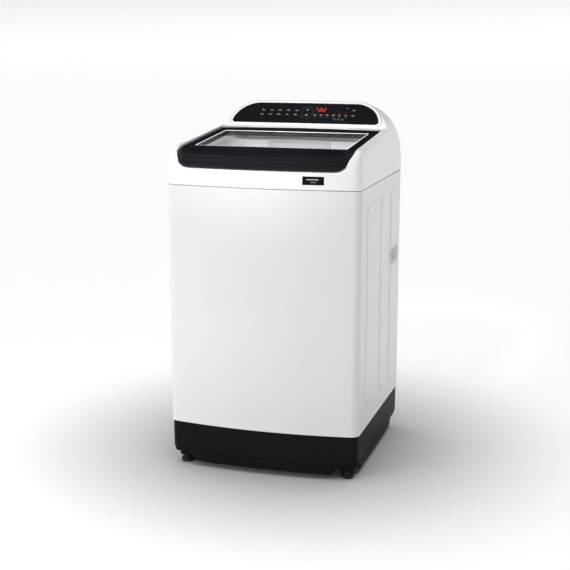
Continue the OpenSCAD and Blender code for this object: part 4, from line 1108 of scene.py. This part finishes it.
def lid_skin():
    columns = lid_columns()

    def row_of(place):
        """One row of the lid: place gives the point of each column."""
        return [place(window, outer, zone) for window, outer, zone in columns]

    def at_height(point, lift):
        return point + (lid_z(point[1]) + lift,)

    def on_top(point, outer, zone, lift=0.0):
        reach = math.hypot(point[0] - outer[0], point[1] - outer[1])
        return point + (lid_z(point[1]) - lid_droop(reach, zone, outer[1]) + lift,)

    def rounded(outer, zone, a):
        """Point at an angle a round the outer edge, from the top down to the wall."""
        wide, a = lid_radius(zone), math.radians(a)
        point = lid_inset(outer, wide * (1 - math.sin(a)) + mix(lid_clear(zone), 0.2, zone))
        return at_height(point, -lid_droop(wide, zone, outer[1]) - wide * (1 - math.cos(a)))

    def hem(outer, zone, by):
        return lid_inset(outer, mix(by * 0.7, by, zone))

    rows = [row_of(lambda w, o, zone: at_height(between(w, o, grow / math.dist(w, o)), lift))
            for grow, lift in ((0, -6), (0, -1.0 - LID_SINK), (0.5, -0.3 - LID_SINK), (1.3, -LID_SINK))]
    rows += [row_of(lambda w, o, zone: on_top(
        between(w, lid_inset(o, lid_radius(zone) + lid_clear(zone)), t), o, zone))
        for t in (0.08, 0.18, 0.3, 0.44, 0.58, 0.7, 0.8, 0.87, 0.93, 0.97, 1.0)]
    rows += [row_of(lambda w, o, zone: rounded(o, zone, a)) for a in spaced(0, 84, 8)[1:]]
    tops = row_of(lambda w, o, zone: lid_z(o[1]) - lid_droop(lid_radius(zone), zone, o[1])
                  - lid_radius(zone) - 0.4)
    bottom = [min(lip_edge(outer[0], 0) if zone > 0.02 else lid_z(outer[1]) - 18, top - 5)
              for (_, outer, zone), top in zip(columns, tops)]
    # Wall with its two grooves, then the hem and the underside back to the window
    for fraction, by in ((0, 0.2), (0.03, 0.5), (0.06, 1.3), (0.09, 1.4), (0.13, 0.5), (0.17, 0),
                         (0.36, -0.1), (0.39, 0.3), (0.42, 1.2), (0.46, 1.3), (0.5, 0.5), (0.54, 0.1),
                         (0.8, 0.2), (0.93, 0.6), (1.0, 1.2)):
        rows.append([lid_inset(outer, by * zone + lid_clear(zone)) + (mix(top, low + 1.2, fraction),)
                     for (_, outer, zone), low, top in zip(columns, bottom, tops)])
    for by, lift in ((2.0, 0.3), (3.0, 0), (4.0, 0.4), (4.2, 4)):
        rows.append([hem(outer, zone, by) + (low + lift,) for (_, outer, zone), low in zip(columns, bottom)])
    rows += [row_of(lambda w, o, zone: at_height(hem(o, zone, by), lift - lid_droop(by, zone, o[1])))
             for by, lift in ((4.2, -3.4), (6.0, -2.2))]
    rows += [row_of(lambda w, o, zone: on_top(between(lid_inset(o, 6), w, share), o, zone, -2.2))
             for share in (0.3, 0.6, 0.85)]
    full = [[(-x, y, z) for x, y, z in reversed(r[1:-1])] + r for r in rows]
    Shell().rows(full, wrap=True, ring=True).make(
        "lid_frame_skin", "lid_black", ("lid_frame",), body="lid", sharp=28)


def window_edge():
    """Edge of the glass, a thin bright line all round the window: its near-white colour is a painted
    highlight.
    """
    rings = []
    for inset, lift in ((0.1, -3.1), (0.1, -2.1), (0.5, -1.75), (2.7, -1.75), (3.1, -2.1), (3.1, -3.1)):
        w, h = 2 * (WINDOW_HALF - inset), WINDOW_Y1 - WINDOW_Y0 - 2 * inset
        rings.append([(x, y, lid_z(y) + lift) for x, y in
                      ((p, (WINDOW_Y0 + WINDOW_Y1) / 2 + q) for p, q in rounded_rect(w, h, 6 - inset, 6))])
    Shell().rows(rings, wrap=True, ring=True).make(
        "window_edge", "lid_glass", body="lid", look=GLASS_EDGE_HIGHLIGHT, sharp=50)


# ---- tub, basket and drive ---------------------------------------------------------------------

def basket_wall():
    """Perforated drum: each cell of the sheet is a ring of quads round a small hole."""
    low, high = box_mm("basket")
    radius = (high.x - low.x) / 2
    around, levels = 66, 24
    z0, z1 = low.z + 5, high.z - 12
    shell = Shell()

    def at(i, z):
        a = 2 * math.pi * i / around
        rib = 1.6 * math.cos(a * 11) ** 8 * ease((z - z0) / 40) * ease((z1 - z) / 40)
        r = radius - 1.4 - rib
        return (r * math.cos(a), DRUM_Y + r * math.sin(a), z)

    cell = (z1 - z0) / levels
    ring = arc(0, 0, 1, 0, 315, 7)
    corners = [(1, 0), (1, 1), (0, 1), (-1, 1), (-1, 0), (-1, -1), (0, -1), (1, -1)]
    for row in range(levels):
        for col in range(around):
            ci, cz = col + 0.5, z0 + (row + 0.5) * cell
            outer = [at(ci + 0.5 * a, cz + 0.5 * b * cell) for a, b in corners]
            inner = [at(ci + 0.14 * a, cz + 3.2 * b) for a, b in ring]
            shell.rows([outer, inner], wrap=True)
    rim = [[at(i, z) for i in range(around)] for z in (low.z + 0.5, z0)]
    head = [[at(i, z) for i in range(around)] for z in (z1, high.z)]
    shell.rows(rim, wrap=True).rows(head, wrap=True)
    shell.make("basket_wall", "basket_steel", ("basket",), body="basket", thick=0.8,
               inside=(0, DRUM_Y, 500), sharp=60)


def balance_ring():
    low, high = box_mm("balance_ring")
    r0, r1 = THROAT_R - 2, (high.x - low.x) / 2
    step = low.z + 14
    profile = [(r0, low.z + 1), (r0 + 1, low.z), (r1 - 8.4, low.z), (r1 - 7.2, low.z + 1),
               (r1 - 7.2, step - 0.6), (r1 - 1.5, step), (r1, step + 1.5), (r1, high.z - 4),
               (r1 - 3, high.z - 1), (r1 - 9, high.z), (r1 - 12, high.z - 1), (r1 - 16, high.z - 1),
               (r1 - 19, high.z), (r0 + 8, high.z), (r0 + 2.4, high.z - 1.5), (r0, high.z - 6)]
    Shell().lathe(profile, 96, (0, DRUM_Y), ring=True).make(
        "balance_ring_skin", "ring_plastic", ("balance_ring",), body="basket", sharp=40)


def pulsator():
    """Wash plate with six swept vanes and a raised cap."""
    low, high = box_mm("pulsator")
    reach = (high.x - low.x) / 2
    dish = [(0, 340), (10, 339.6), (24, 337), (34, 330), (42, 318), (54, 303), (80, 296), (120, 291),
            (160, 288.5), (reach - 10, 287), (reach - 3, 285.5), (reach, 283)]
    radii = [0.5] + spaced(4, 40, 9) + spaced(44, 170, 26) + spaced(173, reach, 7)
    around = 168

    def height(r, a):
        base = next(mix(z0, z1, (r - r0) / (r1 - r0)) for (r0, z0), (r1, z1) in zip(dish, dish[1:])
                    if r <= r1 + 0.01)
        sweep = a - 0.35 * (r / reach) ** 1.5
        wave = (0.5 + 0.5 * math.cos(6 * sweep)) ** 5
        small = (0.5 + 0.5 * math.cos(6 * sweep + math.pi)) ** 9
        tall = 17 * ease((r - 30) / 45) * ease((reach - 6 - r) / 60)
        return base + wave * tall + small * 5 * ease((r - 70) / 30) * ease((reach - 8 - r) / 30)

    turns = [2 * math.pi * k / around for k in range(around)]
    rows = [[(r * math.cos(a), DRUM_Y + r * math.sin(a), height(r, a)) for a in turns] for r in radii]
    rows.append(circle(reach, low.z, around, (0, DRUM_Y)))
    Shell().rows(rows, wrap=True, first=True, last=True).make(
        "pulsator_plate", "pulsator_grey", ("pulsator",), body="pulsator", sharp=45)


def hang_between(piece):
    """Bakes the piece's placement into its mesh."""
    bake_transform(piece)


def springs_and_bellows():
    low, high = box_mm("suspension_springs")
    z0, z1, turns, wire, steps = low.z + 1.8, high.z - 1.8, 8, 1.7, 160
    corners = ((-1, -1), (-1, 1), (1, -1), (1, 1))
    for k, (sx, sy) in enumerate(corners):
        cx, cy = sx * (high.x - low.x - 40) / 2, DRUM_Y + sy * 240
        path = []
        for i in range(steps + 1):
            t = i / steps
            a = 2 * math.pi * turns * t
            free = (t * turns - 0.7) / (turns - 1.4)    # the end turns lie close together
            rise = ease(free) * 0.15 + 0.85 * min(max(free, 0), 1)
            path.append((cx + 17 * math.cos(a), cy + 17 * math.sin(a), mix(z0, z1, rise)))
        coil = Shell().tube(path, wire).make("suspension_spring_%d" % (k + 1), "spring_steel",
                                             ("suspension_springs",), body=None, sharp=80)
        hang_between(coil)
    low, high = box_mm("sump_hose")
    centre = middle_of("sump_hose")[:2]
    steps, folds = 108, 9
    outer = [(20.4 - 2.3 * math.cos(2 * math.pi * folds * i / steps), mix(low.z, high.z, i / steps))
             for i in range(steps + 1)]
    hose = Shell().lathe([(15.6, low.z)] + outer + [(15.6, high.z)], 40, centre, ring=True).make(
        "sump_bellows", "rubber_black", ("sump_hose",), body=None, sharp=60)
    hang_between(hose)


# ---- carried-over CAD nodes --------------------------------------------------------------------

def dress_nodes():
    """Gives each CAD node its material and slightly eased edges."""
    slots = {part["node"]: part["material_slot"] for part in frame["record"]["subparts"]}
    for name, node in frame["nodes"].items():
        slot = slots.get(name)
        if slot is None:
            continue
        node.data.materials.clear()
        node.data.materials.append(LOOKS[slot])
        if node.hide_render or slot == "lid_glass":
            continue
        ease_edges = node.modifiers.new("eased edges", "BEVEL")
        ease_edges.width = 0.5 * MM
        ease_edges.segments = 2
        ease_edges.limit_method = "ANGLE"
        ease_edges.angle_limit = math.radians(40)
        ease_edges.harden_normals = True


# ---- stage -------------------------------------------------------------------------------------

def hang(name, data, place, aim, mirrored=True):
    """A lamp at a place, turned towards aim."""
    lamp = bpy.data.objects.new(name, data)
    bpy.context.scene.collection.objects.link(lamp)
    lamp.location = place
    lamp.rotation_euler = (Vector(aim) - Vector(place)).to_track_quat("-Z", "Y").to_euler()
    lamp.visible_glossy = mirrored


def area_light(name, place, aim, size, power, mirrored=True):
    light = bpy.data.lights.new(name, "AREA")
    light.shape, light.size, light.size_y, light.energy = "RECTANGLE", size[0], size[1], power
    hang(name, light, place, aim, mirrored)


def studio_world():
    """Soft room: bright on the left, dimmer on the right and overhead, dark far behind the machine."""
    world = bpy.data.worlds.new("studio")
    bpy.context.scene.world = world
    world.use_nodes = True
    tree = world.node_tree
    link = tree.links.new
    place, parts = add(tree, "TexCoord"), add(tree, "SeparateXYZ")
    link(place.outputs["Generated"], parts.inputs["Vector"])
    behind = add(tree, "VectorMath", {1: Vector((-0.27, 0.9, 0.33)).normalized()}, operation="DOT_PRODUCT")
    link(place.outputs["Generated"], behind.inputs[0])
    strength = None
    for source, span, result in ((parts.outputs["X"], (-0.6, 0.9), (0.95, 0.08)),
                                 (parts.outputs["X"], (-1.0, -0.45), (0.35, 1.0)),
                                 (parts.outputs["Z"], (0.45, 0.95), (1.0, 0.22)),
                                 (behind.outputs["Value"], (0.86, 0.96), (1.0, 0.06))):
        step = ranged(tree, source, span, result, interpolation_type="SMOOTHSTEP")
        if strength is None:
            strength = step
        else:
            both = add(tree, "Math", operation="MULTIPLY")
            link(strength, both.inputs[0])
            link(step, both.inputs[1])
            strength = both.outputs["Value"]
    link(strength, tree.nodes["Background"].inputs["Strength"])
    tree.nodes["Background"].inputs["Color"].default_value = (1, 1, 1, 1)


def stage():
    """Pale floor that curves up far away, the lights and the camera; metres, apart from the floor."""
    cove = [(1, 0), (3000, 0), (12000, 0), (40000, 0), (46000, 0), (50000, 300), (54000, 1200), (57000, 2900),
            (60000, 9500)]
    floor = Shell().lathe(cove, 48, first=True)
    floor.make("studio_floor", None, body=None, look=floor_paint(), inside=(0, 0, -90000), sharp=80)
    studio_world()
    sun = bpy.data.lights.new("overhead", "SUN")
    sun.energy, sun.angle = 2.5, math.radians(80)
    hang("overhead", sun, (0, 0, 6), (0, 0, 0), mirrored=False)
    area_light("key_left", (-1.5, -2.0, 0.55), (0, -0.3, 0.6), (0.8, 0.8), 17, mirrored=False)
    beam = bpy.data.lights.new("lid_beam", "SPOT")
    beam.energy, beam.spot_size, beam.spot_blend, beam.shadow_soft_size = 240, math.radians(15), 0.5, 0.2
    hang("lid_beam", beam, (-0.2, -1.7, 2.3), (0, 0.02, 0.97), mirrored=False)
    area_light("edge_strip", (2.5, -0.6, 1.0), (0.3, -0.3, 0.7), (0.25, 2.2), 1.2)
    bpy.context.scene.view_settings.view_transform = "Standard"

    camera = bpy.data.objects.new("camera", bpy.data.cameras.new("camera"))
    bpy.context.scene.collection.objects.link(camera)
    azimuth, pitch = math.radians(16.74), math.radians(12.13)
    camera.location = (1.0882, -3.6648, 1.358)
    camera.rotation_euler = (math.pi / 2 - pitch, 0, azimuth)
    camera.data.sensor_width = 36
    camera.data.lens = 76.16
    camera.data.clip_end = 200
    bpy.context.scene.camera = camera


cabinet_skin()
rear_flanges()
base_skin()
feet()
top_cover_skin()
loading_well()
console_skin()
control_panel()
front_badge()
lid_skin()
window_edge()
basket_wall()
balance_ring()
pulsator()
springs_and_bellows()
dress_nodes()
stage()
